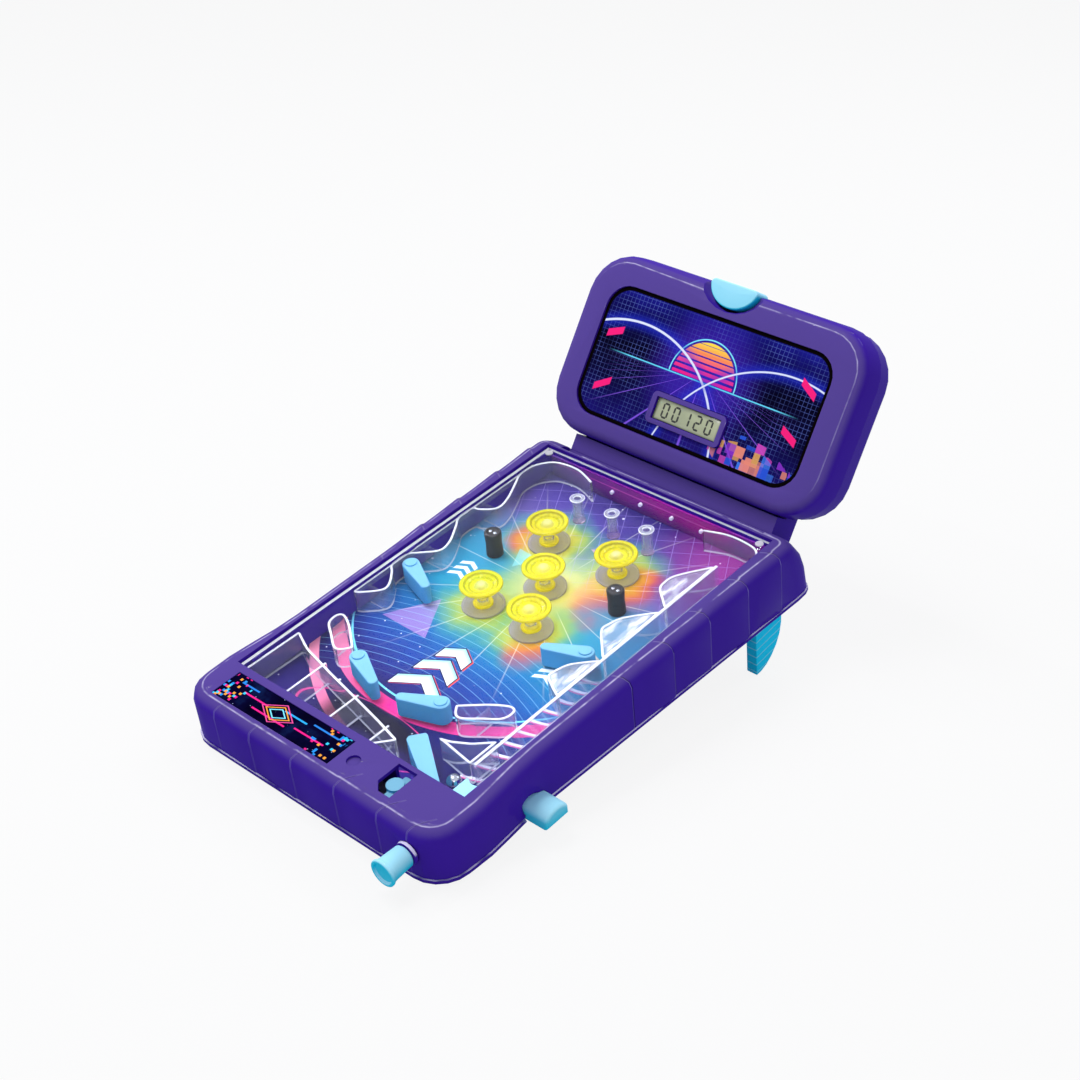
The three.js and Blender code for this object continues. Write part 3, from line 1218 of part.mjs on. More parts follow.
function alongPlunger(profile, segments = ROUND_SEGMENTS) {
  const body = new THREE.LatheGeometry(profile.map(([r, y]) => new THREE.Vector2(r, y)), segments);
  return solid(body).translate(LANE_CENTRE, 0, -PLUNGER_DEPTH);
}

function plungerKnob() {
  const face = KNOB_ROOT - KNOB_LENGTH;
  const bore = PLUNGER_ROD_RADIUS + GAP;
  const ring = KNOB_DISH_SHARE * KNOB_FACE_RADIUS;
  return alongPlunger([
    [0, face + KNOB_RING_HEIGHT], [ring, face + KNOB_RING_HEIGHT],
    [KNOB_CREST_SHARE * KNOB_FACE_RADIUS, face],
    [KNOB_FACE_RADIUS, face + KNOB_RING_HEIGHT], [KNOB_FACE_RADIUS, face + 2 * KNOB_RING_HEIGHT],
    [KNOB_ROOT_RADIUS, face + KNOB_LENGTH / 2], [KNOB_ROOT_RADIUS, KNOB_ROOT - KNOB_RING_HEIGHT],
    [KNOB_ROOT_RADIUS - KNOB_RING_HEIGHT, KNOB_ROOT], [bore, KNOB_ROOT],
    [bore, KNOB_ROOT - KNOB_BORE_DEPTH],
    [0, KNOB_ROOT - KNOB_BORE_DEPTH],
  ], FINE_SEGMENTS);
}

function plungerRod() {
  return drumAlongY(
    PLUNGER_ROD_RADIUS, LANE_CENTRE, -PLUNGER_DEPTH, KNOB_ROOT - KNOB_BORE_DEPTH + GAP,
    PLUNGER_HEAD_BACK + PLUNGER_HEAD_LENGTH / 2, SMALL_SEGMENTS,
  );
}

function plungerHead() {
  const half = PLUNGER_HEAD_WIDTH / 2;
  const front = PLUNGER_HEAD_BACK;
  const back = front + PLUNGER_HEAD_LENGTH;
  const [x0, x1] = [LANE_CENTRE - half, LANE_CENTRE + half];
  const body = block(x0, x1, front, back, RAIL_BOTTOM + GAP, -PLUNGER_HEAD_TOP_DEPTH);
  const dish = drum(half, LANE_CENTRE, back + half - PLUNGER_HEAD_DISH, DECK_TOP, 0, FINE_SEGMENTS);
  const bore = drumAlongY(
    PLUNGER_ROD_RADIUS + GAP, LANE_CENTRE, -PLUNGER_DEPTH, front - OVERRUN,
    front + PLUNGER_HEAD_LENGTH / 2 + GAP, SMALL_SEGMENTS,
  );
  return cut(body, [dish, bore]);
}

function plungerBushing() {
  const bore = PLUNGER_ROD_RADIUS + GAP;
  const face = BUSHING_FACE - BUSHING_FLANGE_THICKNESS;
  const profile = [
    [bore, face], [BUSHING_FLANGE_RADIUS - GAP, face], [BUSHING_FLANGE_RADIUS, face + GAP],
    [BUSHING_FLANGE_RADIUS, BUSHING_FACE], [BUSHING_SLEEVE_RADIUS, BUSHING_FACE],
    [BUSHING_SLEEVE_RADIUS, BUSHING_FACE + BUSHING_SLEEVE_LENGTH],
    [bore, BUSHING_FACE + BUSHING_SLEEVE_LENGTH], [bore, face],
  ];
  return alongPlunger(profile);
}

function plungerSpring() {
  const start = BUSHING_FACE + BUSHING_SLEEVE_LENGTH + GAP;
  const length = PLUNGER_HEAD_BACK - GAP - start;
  const wound = coil(
    "plunger_spring", PLUNGER_SPRING_RADIUS, PLUNGER_SPRING_WIRE, PLUNGER_SPRING_TURNS, length,
  );
  const frame = new THREE.Object3D();
  frame.rotation.x = -Math.PI / 2;
  frame.position.set(LANE_CENTRE, start, -PLUNGER_DEPTH);
  frame.updateMatrix();
  return wound.transform(frame.matrix.elements);
}

// Ball feed lever, in a frame whose origin is its pivot
function ballFeedLever() {
  const [px, py] = at(LEVER_PIVOT_SHARE);
  const local = (points) => points.map(([x, y]) => [x - px, y - py]);
  const pocket = pocketOutline();
  const padX = (pocket[0][0] + pocket[1][0]) / 2 - POCKET_CHAMFER / 2 - px;
  const padY = (pocket[1][1] + pocket[2][1]) / 2 - py;
  const armTop = -VANE_TOP_DEPTH;
  const armBottom = armTop - LEVER_ARM_THICKNESS;
  const reach = Math.hypot(padX, padY);
  const turn = Math.atan2(padY, padX);
  const arm = block(0, reach, -LEVER_ARM_WIDTH / 2, LEVER_ARM_WIDTH / 2, armBottom, armTop);
  const frame = new THREE.Object3D();
  frame.rotation.z = turn;
  frame.updateMatrix();
  const body = joined([
    prism(local(VANE_SHARES.map(at)), RAIL_BOTTOM + GAP, -VANE_TOP_DEPTH),
    drum(LEVER_HUB_RADIUS, 0, 0, RAIL_BOTTOM + GAP, armTop),
    arm.transform(frame.matrix.elements),
    drum(LEVER_PAD_RADIUS, padX, padY, armBottom, armTop + LEVER_PAD_HEIGHT),
  ]);
  return body.subtract(drum(LEVER_PIN_RADIUS + GAP, 0, 0, DECK_TOP, armBottom + GAP, SMALL_SEGMENTS));
}

// Bumper pieces, in a frame whose origin is on the cover plane above the bumper
function bumperBase() {
  const bottom = RAIL_BOTTOM;
  const top = bottom + BUMPER_BASE_THICKNESS;
  const bore = BUMPER_STEM_RADIUS + GAP;
  return turned([
    [bore, bottom], [BUMPER_RADIUS, bottom], [BUMPER_RADIUS, top], [BUMPER_COLLAR_RADIUS, top],
    [BUMPER_COLLAR_RADIUS, top + BUMPER_COLLAR_HEIGHT], [bore, top + BUMPER_COLLAR_HEIGHT],
    [bore, bottom],
  ], FINE_SEGMENTS);
}

function bumperCap() {
  const bottom = -BUMPER_CAP_TOP_DEPTH - BUMPER_CAP_HEIGHT;
  const section = BUMPER_CAP_SHARES.map(([r, h]) => [r * BUMPER_RADIUS, bottom + h * BUMPER_CAP_HEIGHT]);
  const tail = DECK_TOP - BUMPER_STEM_TAIL;
  const stem = [[0, tail], [BUMPER_STEM_RADIUS, tail], [BUMPER_STEM_RADIUS, bottom]];
  return turned([...stem, ...section, [0, -BUMPER_CAP_TOP_DEPTH]], FINE_SEGMENTS);
}

function bumperSpring() {
  const start = RAIL_BOTTOM + BUMPER_BASE_THICKNESS + BUMPER_COLLAR_HEIGHT + GAP;
  const end = -BUMPER_CAP_TOP_DEPTH - BUMPER_CAP_HEIGHT - GAP;
  const wound = coil(
    "bumper_spring", BUMPER_SPRING_RADIUS, BUMPER_SPRING_WIRE, BUMPER_SPRING_TURNS, end - start,
  );
  return wound.translate(0, 0, start);
}

function clearPost() {
  const top = -POST_TOP_DEPTH;
  return turned([
    [0, RAIL_BOTTOM], [POST_RADIUS, RAIL_BOTTOM], [POST_RADIUS, top - POST_FLANGE_HEIGHT],
    [POST_FLANGE_RADIUS, top - POST_FLANGE_HEIGHT / 2], [POST_FLANGE_RADIUS, top],
    [POST_BORE_RADIUS, top], [POST_BORE_RADIUS, top - POST_BORE_DEPTH], [0, top - POST_BORE_DEPTH],
  ]);
}

function rubberPost() {
  const top = -RUBBER_TOP_DEPTH;
  const profile = [[0, RAIL_BOTTOM], [RUBBER_RADIUS, RAIL_BOTTOM]];
  for (let i = 0; i <= ROLL_STEPS; i += 1) {
    const a = (Math.PI / 2) * (i / ROLL_STEPS);
    const inset = RUBBER_ROUND * (1 - Math.cos(a));
    profile.push([RUBBER_RADIUS - inset, top - RUBBER_ROUND * (1 - Math.sin(a))]);
  }
  return turned([...profile, [0, top]]);
}

// Score head
function headRing(inset, z) {
  const hw = HEAD_HALF_WIDTH - inset;
  const hh = HEAD_HALF_HEIGHT - inset;
  return roundedRing(hw, hh, HEAD_CORNER_RADIUS - inset, HEAD_CENTRE_RISE, z);
}

function roundedRing(halfWidth, halfHeight, radius, centreY, z) {
  const ring = [];
  for (const [sx, sy, from] of [[1, -1, -0.5], [1, 1, 0], [-1, 1, 0.5], [-1, -1, 1]]) {
    for (let i = 0; i <= HEAD_CORNER_STEPS; i += 1) {
      const a = Math.PI * (from + (0.5 * i) / HEAD_CORNER_STEPS);
      const x = sx * (halfWidth - radius) + radius * Math.cos(a);
      ring.push(new THREE.Vector3(x, centreY + sy * (halfHeight - radius) + radius * Math.sin(a), z));
    }
  }
  return ring;
}

function roundedPlate(halfWidth, halfHeight, radius, centreY, z0, z1) {
  return loft([z0, z1].map((z) => roundedRing(halfWidth, halfHeight, radius, centreY, z)));
}

function headFrontBody(wall, from, face) {
  const roll = HEAD_ROLL - wall / 2;
  const rings = [headRing(wall, from)];
  for (let i = 0; i <= ROLL_STEPS; i += 1) {
    const a = (Math.PI / 2) * (i / ROLL_STEPS);
    rings.push(headRing(HEAD_DRAFT + wall + roll * (1 - Math.cos(a)), face - roll * (1 - Math.sin(a))));
  }
  return loft(rings);
}

// Half-moon under a flat top, as wide as twice its half width
function halfMoon(halfWidth, height, top, z0, z1) {
  const points = [];
  for (let i = 0; i <= 2 * CORNER_STEPS; i += 1) {
    const a = -Math.PI + (Math.PI * i) / (2 * CORNER_STEPS);
    points.push([halfWidth * Math.cos(a), top + height * Math.sin(a)]);
  }
  return prism(points, z0, z1);
}

function tabScoop(grow) {
  const radii = [TAB_SCOOP_HALF_WIDTH + grow, TAB_SCOOP_HEIGHT + grow, TAB_SCOOP_DEPTH + grow];
  return ellipsoid(...radii, 0, TAB_TOP_RISE + FUSE, HEAD_FACE_RISE);
}

function headFrontShell() {
  const floor = -PANEL_THICKNESS - GAP;
  const outer = headFrontBody(0, -HEAD_SPLIT_DEPTH + GAP / 2, HEAD_FACE_RISE);
  const hollow = headFrontBody(HEAD_WALL, -HEAD_SPLIT_DEPTH - OVERRUN, floor - HEAD_WALL);
  const bosses = [-1, 1].flatMap((sx) => [-1, 1].map((sy) => {
    const x = sx * (BOARD_HALF_WIDTH - BOARD_BOSS_INSET);
    const y = -BOARD_CENTRE_DROP + sy * (BOARD_HALF_HEIGHT - BOARD_BOSS_INSET);
    return drum(BOARD_BOSS_RADIUS, x, y, -BOARD_BACK_DEPTH + GAP, floor - FUSE, SMALL_SEGMENTS);
  }));
  const scoopSkin = outer.intersect(tabScoop(HEAD_WALL));
  let shell = joined([outer.subtract(hollow), scoopSkin]);
  const panel = roundedPlate(
    PANEL_HALF_WIDTH + GAP, PANEL_HALF_HEIGHT + GAP, PANEL_CORNER_RADIUS + GAP, 0, floor,
    HEAD_FACE_RISE + OVERRUN,
  );
  shell = cut(shell, [panel, tabScoop(0), tabSlot()]);
  const bezel = roundedPlate(
    DISPLAY_HALF_WIDTH + BEZEL_BORDER + GAP, DISPLAY_HALF_HEIGHT + BEZEL_BORDER - GAP, BEZEL_BORDER,
    -DISPLAY_DROP, floor - FUSE, BEZEL_RISE,
  );
  shell = joined([shell, bezel, ...bosses]);
  const dw = DISPLAY_HALF_WIDTH + GAP;
  const dh = DISPLAY_HALF_HEIGHT + GAP;
  return shell.subtract(block(
    -dw, dw, -DISPLAY_DROP - dh, -DISPLAY_DROP + dh, -2 * HEAD_SPLIT_DEPTH, BEZEL_RISE + OVERRUN,
  ));
}

function tabSlot() {
  const room = RUNNING_GAP;
  const half = TAB_HALF_WIDTH + 2 * room;
  const floor = -TAB_DEPTH - room;
  const face = HEAD_FACE_RISE + OVERRUN;
  const moon = halfMoon(half, TAB_HEIGHT + TAB_TRAVEL + 2 * room, TAB_TOP_RISE, floor, face);
  const above = block(-half, half, TAB_TOP_RISE - FUSE, TAB_TOP_RISE + TAB_HEIGHT, floor, face);
  return moon.add(above);
}

function headRearShell() {
  const start = -HEAD_SPLIT_DEPTH - GAP / 2;
  const step = HEAD_STEP;
  const rings = (wall, from, back) => {
    const list = [headRing(step / 2 + wall, from), headRing(step + wall, -HEAD_SPLIT_DEPTH - HEAD_WALL)];
    const roll = HEAD_BACK_ROLL;
    for (let i = 0; i <= ROLL_STEPS; i += 1) {
      const a = (Math.PI / 2) * (i / ROLL_STEPS);
      list.push(headRing(step + wall + roll * (1 - Math.cos(a)), back + roll * (1 - Math.sin(a))));
    }
    return loft(list.reverse());
  };
  const outer = rings(0, start, -HEAD_DEPTH);
  const hollow = rings(HEAD_WALL, start + OVERRUN, -HEAD_DEPTH + HEAD_WALL);
  const bottom = HEAD_CENTRE_RISE - HEAD_HALF_HEIGHT;
  const w = NECK_HALF_WIDTH;
  const neckTop = bottom - GAP;
  const neck = joined([
    block(-w, w, -NECK_FOOT_DROP, neckTop, -NECK_BACK_DEPTH, -NECK_FRONT_DEPTH),
    block(-w, w, neckTop - FUSE, bottom + NECK_OVERLAP, -NECK_BACK_DEPTH, start - GAP),
  ]);
  const iw = w - HEAD_WALL;
  const [foot, crest] = [-NECK_FOOT_DROP + HEAD_WALL, bottom + NECK_OVERLAP + HEAD_WALL];
  const back = -NECK_BACK_DEPTH + HEAD_WALL;
  const neckHollow = joined([
    block(-iw, iw, foot, neckTop - HEAD_WALL, back, -NECK_FRONT_DEPTH - HEAD_WALL),
    block(-iw, iw, neckTop - 2 * HEAD_WALL, crest, back, start - GAP - HEAD_WALL),
  ]);
  const plugs = plugBoxes(0).map((plug) => plug.transform(fromHeadFrame()));
  return cut(joined([outer, neck, ...plugs]), [hollow, neckHollow]);
}

function fromHeadFrame() {
  const frame = headFrame(new THREE.Object3D());
  frame.updateMatrix();
  return frame.matrix.clone().invert().elements;
}

function backglassPanel() {
  const plate = roundedPlate(
    PANEL_HALF_WIDTH, PANEL_HALF_HEIGHT, PANEL_CORNER_RADIUS, 0, -PANEL_THICKNESS, 0,
  );
  const hole = roundedPlate(
    DISPLAY_HALF_WIDTH + BEZEL_BORDER + 2 * GAP, DISPLAY_HALF_HEIGHT + BEZEL_BORDER, BEZEL_BORDER,
    -DISPLAY_DROP, -PANEL_THICKNESS - OVERRUN, OVERRUN,
  );
  return plate.subtract(hole);
}

function scoreDisplay() {
  const wall = -PANEL_THICKNESS - GAP - HEAD_WALL - GAP;
  const glass = block(
    -DISPLAY_HALF_WIDTH, DISPLAY_HALF_WIDTH, -DISPLAY_DROP - DISPLAY_HALF_HEIGHT,
    -DISPLAY_DROP + DISPLAY_HALF_HEIGHT, wall - FUSE, 0,
  );
  const bw = DISPLAY_HALF_WIDTH + DISPLAY_BACKING;
  const bh = DISPLAY_HALF_HEIGHT + DISPLAY_BACKING;
  return glass.add(block(
    -bw, bw, -DISPLAY_DROP - bh, -DISPLAY_DROP + bh, wall - DISPLAY_BASE_THICKNESS, wall,
  ));
}

function circuitBoard() {
  const y = -BOARD_CENTRE_DROP;
  const back = -BOARD_BACK_DEPTH;
  return block(
    -BOARD_HALF_WIDTH, BOARD_HALF_WIDTH, y - BOARD_HALF_HEIGHT, y + BOARD_HALF_HEIGHT,
    back - BOARD_THICKNESS, back,
  );
}

function headButton() {
  return halfMoon(TAB_HALF_WIDTH, TAB_HEIGHT, TAB_TOP_RISE, -TAB_DEPTH, TAB_FACE_RISE);
}

// Fold-out leg, in a frame whose origin is its pivot
function leg(side) {
  const sole = groundAt(LEG_PIVOT_BACK - LEG_FRONT_REACH) + LEG_PIVOT_DEPTH;
  const front = -LEG_FRONT_REACH;
  const edge = LEG_EDGE_SHARES.map(([y, z]) => [y * LEG_FIN_REACH, z * sole]);
  const outline = [[front, 0], [front, sole], ...edge];
  const hub = [];
  for (let i = 0; i <= CORNER_STEPS; i += 1) {
    const a = Math.PI * (i / CORNER_STEPS);
    hub.push([LEG_HUB_RADIUS * Math.cos(a), LEG_HUB_RADIUS * Math.sin(a)]);
  }
  const shoulder = [LEG_HUB_RADIUS + LEG_FRONT_REACH, edge[edge.length - 1][1] / 2];
  const profile = [...outline, shoulder, ...hub.slice(0, -1)];
  const slab = (from, to) => {
    const shape = new THREE.Shape(profile.map((p) => new THREE.Vector2(...p)));
    const body = new THREE.ExtrudeGeometry(shape, { depth: to - from, bevelEnabled: false });
    body.rotateY(Math.PI / 2).rotateX(Math.PI / 2);
    return solid(body.translate(from, 0, 0));
  };
  const outer = LEG_THICKNESS;
  const inner = LEG_THICKNESS - LEG_FIN_THICKNESS;
  const span = (from, to) => (side > 0 ? [from, to] : [-to, -from]);
  const whole = slab(...span(0, outer));
  const past = 2 * LEG_FIN_REACH;
  const trim = block(...span(-OVERRUN, inner), LEG_BODY_REACH, past, 2 * sole, LEG_FIN_REACH);
  const ends = [span(-LEG_PIN_LENGTH, FUSE), span(outer - FUSE, outer + LEG_PIN_LENGTH)];
  const pins = ends.map(([a, b]) => drumAlongX(LEG_PIN_RADIUS, a, b, 0, 0));
  return joined([whole.subtract(trim), ...pins]);
}

// Height of the surface that the game stands on
function groundAt(y) {
  const footFront = CASE_FRONT + FOOT_START - FOOT_RADIUS;
  return undersideAt(footFront) - FOOT_DROP - GROUND_SLOPE * (y - footFront);
}

// Rubber foot: a round pad whose sole lies on the surface
function frontFoot(side) {
  const y = CASE_FRONT + FOOT_START;
  const rings = [0, 1].map((top) => {
    const ring = [];
    for (let i = 0; i < ROUND_SEGMENTS; i += 1) {
      const a = (2 * Math.PI * i) / ROUND_SEGMENTS;
      const py = y + FOOT_RADIUS * Math.sin(a);
      const z = top ? undersideAt(py) + FOOT_SEAT : groundAt(py);
      ring.push(new THREE.Vector3(side * FOOT_SIDE_REACH + FOOT_RADIUS * Math.cos(a), py, z));
    }
    return ring;
  });
  return loft(rings);
}

// Pieces that lie in the underside's frame
function batteryDoor() {
  const half = DOOR_WIDTH / 2;
  const [x, y] = doorScrewPlace();
  const plate = block(-half, half, DOOR_START, DOOR_START + DOOR_LENGTH, 0, DOOR_THICKNESS);
  const through = DOOR_THICKNESS + OVERRUN;
  const hole = drum(DOOR_SCREW_SHANK_RADIUS + GAP, x, y, -OVERRUN, through, SMALL_SEGMENTS);
  const seat = DOOR_SCREW_HEAD_HEIGHT + GAP;
  return cut(plate, [hole, drum(DOOR_SCREW_RADIUS + GAP, x, y, -OVERRUN, seat, SMALL_SEGMENTS)]);
}

function doorScrew() {
  const [x, y] = doorScrewPlace();
  const head = drum(DOOR_SCREW_RADIUS, x, y, 0, DOOR_SCREW_HEAD_HEIGHT, SMALL_SEGMENTS);
  return head.add(drum(DOOR_SCREW_SHANK_RADIUS, x, y, FUSE, DOOR_SCREW_LENGTH, SMALL_SEGMENTS));
}

function speaker() {
  const bottom = FLOOR_THICKNESS + GAP;
  const top = bottom + SPEAKER_HEIGHT;
  const shoulder = top - SPEAKER_MAGNET_HEIGHT;
  const cone = turned([
    [0, bottom], [SPEAKER_RADIUS, bottom], [SPEAKER_RADIUS, bottom + SPEAKER_MAGNET_HEIGHT / 2],
    [SPEAKER_MAGNET_RADIUS, shoulder], [SPEAKER_MAGNET_RADIUS, top], [0, top],
  ], FINE_SEGMENTS);
  return cone.translate(0, SPEAKER_START, 0);
}

function powerSwitch() {
  const inside = FLOOR_THICKNESS + GAP;
  const knob = SWITCH_KNOB_WIDTH / 2;
  const x = SWITCH_OFFSET;
  return joined([
    block(
      x - knob, x + knob, SWITCH_START - SWITCH_KNOB_LENGTH / 2, SWITCH_START + SWITCH_KNOB_LENGTH / 2,
      -SWITCH_KNOB_PROUD, inside + FUSE,
    ),
    block(
      x - SWITCH_BODY_WIDTH / 2, x + SWITCH_BODY_WIDTH / 2, SWITCH_START - SWITCH_BODY_LENGTH / 2,
      SWITCH_START + SWITCH_BODY_LENGTH / 2, inside, inside + SWITCH_BODY_HEIGHT,
    ),
  ]);
}

// Assembly
const table = new THREE.Group();
table.rotation.x = THREE.MathUtils.degToRad(TILT_DEGREES);

function placed(mesh, x, y, z = 0, turn = 0) {
  mesh.position.set(x, y, z);
  mesh.rotation.z = turn;
  table.add(mesh);
  return mesh;
}

table.add(piece("upper_shell", upperShell(), PURPLE));
table.add(piece("lower_shell", lowerShell(), PURPLE));
table.add(piece("playfield_deck", playfieldDeck(), PRINT));
table.add(piece("clear_cover", clearCover(), CLEAR));
table.add(piece("back_wall_band", backBand(), MAGENTA));
table.add(piece("left_side_rail", leftSideRail(), CLEAR));
table.add(piece("right_corner_arch", rightCornerArch(), CLEAR));
table.add(piece("lane_divider", laneDivider(), CLEAR));
table.add(piece("left_apron", leftApron(), CLEAR));
table.add(piece("right_apron", rightApron(), CLEAR));
table.add(piece("left_slingshot", slingshot(-1), CLEAR));
table.add(piece("right_slingshot", slingshot(1), CLEAR));

for (const { row, side, x, y } of flipperPivots()) {
  const name = `${row}_${side < 0 ? "left" : "right"}_flipper`;
  const droop = side * THREE.MathUtils.degToRad(FLIPPER_DROOP_DEGREES);
  placed(piece(name, flipper(-side), LIGHT_BLUE), x, y, 0, droop);
}
table.add(piece("left_flipper_button", flipperButton(-1), LIGHT_BLUE));
table.add(piece("right_flipper_button", flipperButton(1), LIGHT_BLUE));

table.add(piece("plunger_knob", plungerKnob(), LIGHT_BLUE));
table.add(piece("plunger_rod", plungerRod(), STEEL));
table.add(piece("plunger_head", plungerHead(), LIGHT_BLUE));
table.add(piece("plunger_bushing", plungerBushing(), PURPLE));
table.add(piece("plunger_spring", plungerSpring(), STEEL));
placed(piece("ball_feed_lever", ballFeedLever(), LIGHT_BLUE), ...at(LEVER_PIVOT_SHARE));
const ball = new THREE.SphereGeometry(BALL_RADIUS, ROUND_SEGMENTS, SMALL_SEGMENTS);
placed(piece("steel_ball", solid(ball), STEEL), ...at(BALL_SHARE), RAIL_BOTTOM + BALL_RADIUS);

const [baseBody, capBody, springBody] = [bumperBase(), bumperCap(), bumperSpring()];
BUMPER_SHARES.forEach((share, i) => {
  placed(piece(`bumper_base_${i + 1}`, baseBody, SMOKE), ...at(share));
  placed(piece(`bumper_cap_${i + 1}`, capBody, YELLOW), ...at(share));
  placed(piece(`bumper_spring_${i + 1}`, springBody, STEEL), ...at(share));
});
POST_SHARES.forEach((share, i) => {
  placed(piece(`clear_post_${i + 1}`, clearPost(), CLEAR), ...at(share));
});
RUBBER_SHARES.forEach((share, i) => {
  placed(piece(`rubber_post_${i + 1}`, rubberPost(), RUBBER), ...at(share));
});

const [labelX, labelY] = labelPlace();
const labelTop = RIM_RISE - LABEL_RECESS + GAP + LABEL_THICKNESS;
const labelBody = block(
  labelX - LABEL_WIDTH / 2, labelX + LABEL_WIDTH / 2, labelY - LABEL_LENGTH / 2,
  labelY + LABEL_LENGTH / 2, labelTop - LABEL_THICKNESS, labelTop,
);
table.add(piece("front_label", labelBody, DARK_PRINT));

for (const side of [-1, 1]) {
  const hand = side < 0 ? "left" : "right";
  const inner = side * (LEG_OUTER_REACH - LEG_THICKNESS);
  placed(piece(`${hand}_leg`, leg(side), LIGHT_BLUE), inner, LEG_PIVOT_BACK, -LEG_PIVOT_DEPTH);
  table.add(piece(`${hand}_front_foot`, frontFoot(side), RUBBER));
}

const head = headFrame(new THREE.Group());
head.add(piece("head_front_shell", headFrontShell(), PURPLE));
head.add(piece("head_rear_shell", headRearShell(), PURPLE));
head.add(piece("backglass_panel", backglassPanel(), DARK_PRINT));
head.add(piece("score_display", scoreDisplay(), GLASS_GREEN));
head.add(piece("circuit_board", circuitBoard(), BOARD_GREEN));
head.add(piece("head_button", headButton(), LIGHT_BLUE));
table.add(head);

const underside = undersideFrame(new THREE.Group());
underside.add(piece("battery_door", batteryDoor(), PURPLE));
underside.add(piece("battery_door_screw", doorScrew(), STEEL));
underside.add(piece("speaker", speaker(), DARK));
underside.add(piece("power_switch", powerSwitch(), DARK));
table.add(underside);

// The origin lies under the middle of the game's box, on the surface that it stands on
const game = new THREE.Group();
game.add(table);
const box = new THREE.Box3().setFromObject(game, true);
table.position.set(-(box.min.x + box.max.x) / 2, -(box.min.y + box.max.y) / 2, -box.min.z);
game.updateMatrixWorld(true);
console.log(`button travel ${BUTTON_TRAVEL.toFixed(3)} mm, plunger travel ${PLUNGER_TRAVEL} mm`);

export default game;
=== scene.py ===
"""Tabletop pinball game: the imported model's visible pieces, finishes, studio and camera.

The table frame has +X to the player's right, +Y to the back and +Z out of the clear cover, in
millimetres, with its origin in the middle of the cover. The head frame has +Y up the score panel and
+Z out of it. Both are turned about X and moved into Blender's metres when a mesh is made.
"""
import math

import bmesh
import bpy
import numpy as np
from bpy.props import FloatProperty, FloatVectorProperty, PointerProperty
from mathutils import Matrix, Vector


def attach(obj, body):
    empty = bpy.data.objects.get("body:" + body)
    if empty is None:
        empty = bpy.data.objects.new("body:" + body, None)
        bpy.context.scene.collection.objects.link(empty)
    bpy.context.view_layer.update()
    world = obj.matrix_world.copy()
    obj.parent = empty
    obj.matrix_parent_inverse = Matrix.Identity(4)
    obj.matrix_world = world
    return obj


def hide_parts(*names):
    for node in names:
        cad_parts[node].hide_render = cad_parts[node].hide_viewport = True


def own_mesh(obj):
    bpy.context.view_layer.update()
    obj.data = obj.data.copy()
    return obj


bl_info = {
    "name": "Tabletop pinball game",
    "version": (1, 0, 0),
    "blender": (4, 5, 0),
    "location": "3D View > Sidebar > Pinball",
    "description": "Adds the visible pieces and finishes of a tabletop pinball game",
    "category": "Mesh",
}

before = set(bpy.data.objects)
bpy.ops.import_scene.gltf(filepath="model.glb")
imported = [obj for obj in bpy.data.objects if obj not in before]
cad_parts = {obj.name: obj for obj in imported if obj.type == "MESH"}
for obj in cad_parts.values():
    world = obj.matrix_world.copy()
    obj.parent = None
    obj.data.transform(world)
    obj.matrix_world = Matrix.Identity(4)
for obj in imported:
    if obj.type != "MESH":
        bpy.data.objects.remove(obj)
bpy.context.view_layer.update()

# Where the frames stand in the world: turn about X in degrees, origin in metres
TABLE = (10.0, (0.0, -0.023572, 0.069067))
HEAD = (62.5, (0.0, 0.16489, 0.16465))

# Sizes of the playfield in millimetres, as in the CAD
HALF_WIDTH = 100.0
HALF_LENGTH = 148.8
RAIL_BOTTOM = -21.7
RAIL_TOP = -4.4
SLING_TOP = -6.0
DIVIDER_FACE = 80.0
DIVIDER_WALL = 2.2
LANE_CENTRE = 90.8
LEVER_TOP = -2.4
ROD_END = -138.43
SPRING_ENDS = (-182.0, -145.23)
PLUNGER_HEIGHT = -15.5
KNOB_ROOT = -190.8
BUMPERS = np.array([[-43, 82.88], [19, 82.88], [-12, 44.04], [-33.5, 5.8], [9.5, 5.8]])
CLEAR_POSTS = np.array([[-43.3, 115.17], [-12, 115.47], [19.5, 114.58]])
RUBBER_POSTS = np.array([[-66, 52.08], [43.5, 52.82]])
BALL_PLACE = np.array([71.0, -130.5])
KNOB_LENGTH = 18.85
CAP_LOW = -7.6
RUBBER_TOP = -2.6
PRINT_AXIS = -12

# Angle of a resting flipper below the line across the playfield
FLIPPER_DROOP = math.radians(24)

# Distances in metres within which points are one point, for new meshes and for CAD copies
DOUBLES = 2e-6
CAD_DOUBLES = 4e-6
NO_LENGTH = 1e-7

# Lamps: name, place in metres, width and length, power in watts, direction of the length
LAMPS = (
    ("key", (-0.5, -0.3, 1.8), (0.6, 0.6), 12.5, (0, 0, 1)),
    ("fill", (1.2, -1.3, 1.1), (0.6, 0.6), 3.5, (0, 0, 1)),
    ("back", (0.35, 1.5, 1.25), (0.35, 0.35), 5.0, (0, 0, 1)),
    ("side_strip", (-0.24, 1.4, 1.55), (0.02, 0.9), 7.0, (0, 1, 0)),
    ("top_strip", (-1.05, -0.75, 1.4), (0.02, 0.9), 5.0, (1, 0, 0)),
    ("front_strip", (-1.05, 0.0, 1.5), (0.02, 0.9), 5.0, (1, 0, 0)),
)
LAMP_AIM = (0, 0, 0.08)
FLOOR_REACH = 5.0

# Camera, solved from the outline of the clear cover
LENS = 61.106
CAMERA_PLACE = (0.68089, -0.77997, 0.69071)
CAMERA_RIGHT = (0.74252, 0.66912, 0.03061)
CAMERA_UP = (-0.34896, 0.34743, 0.87036)
CAMERA_BACK = (0.57174, -0.65694, 0.49147)


# Shapes

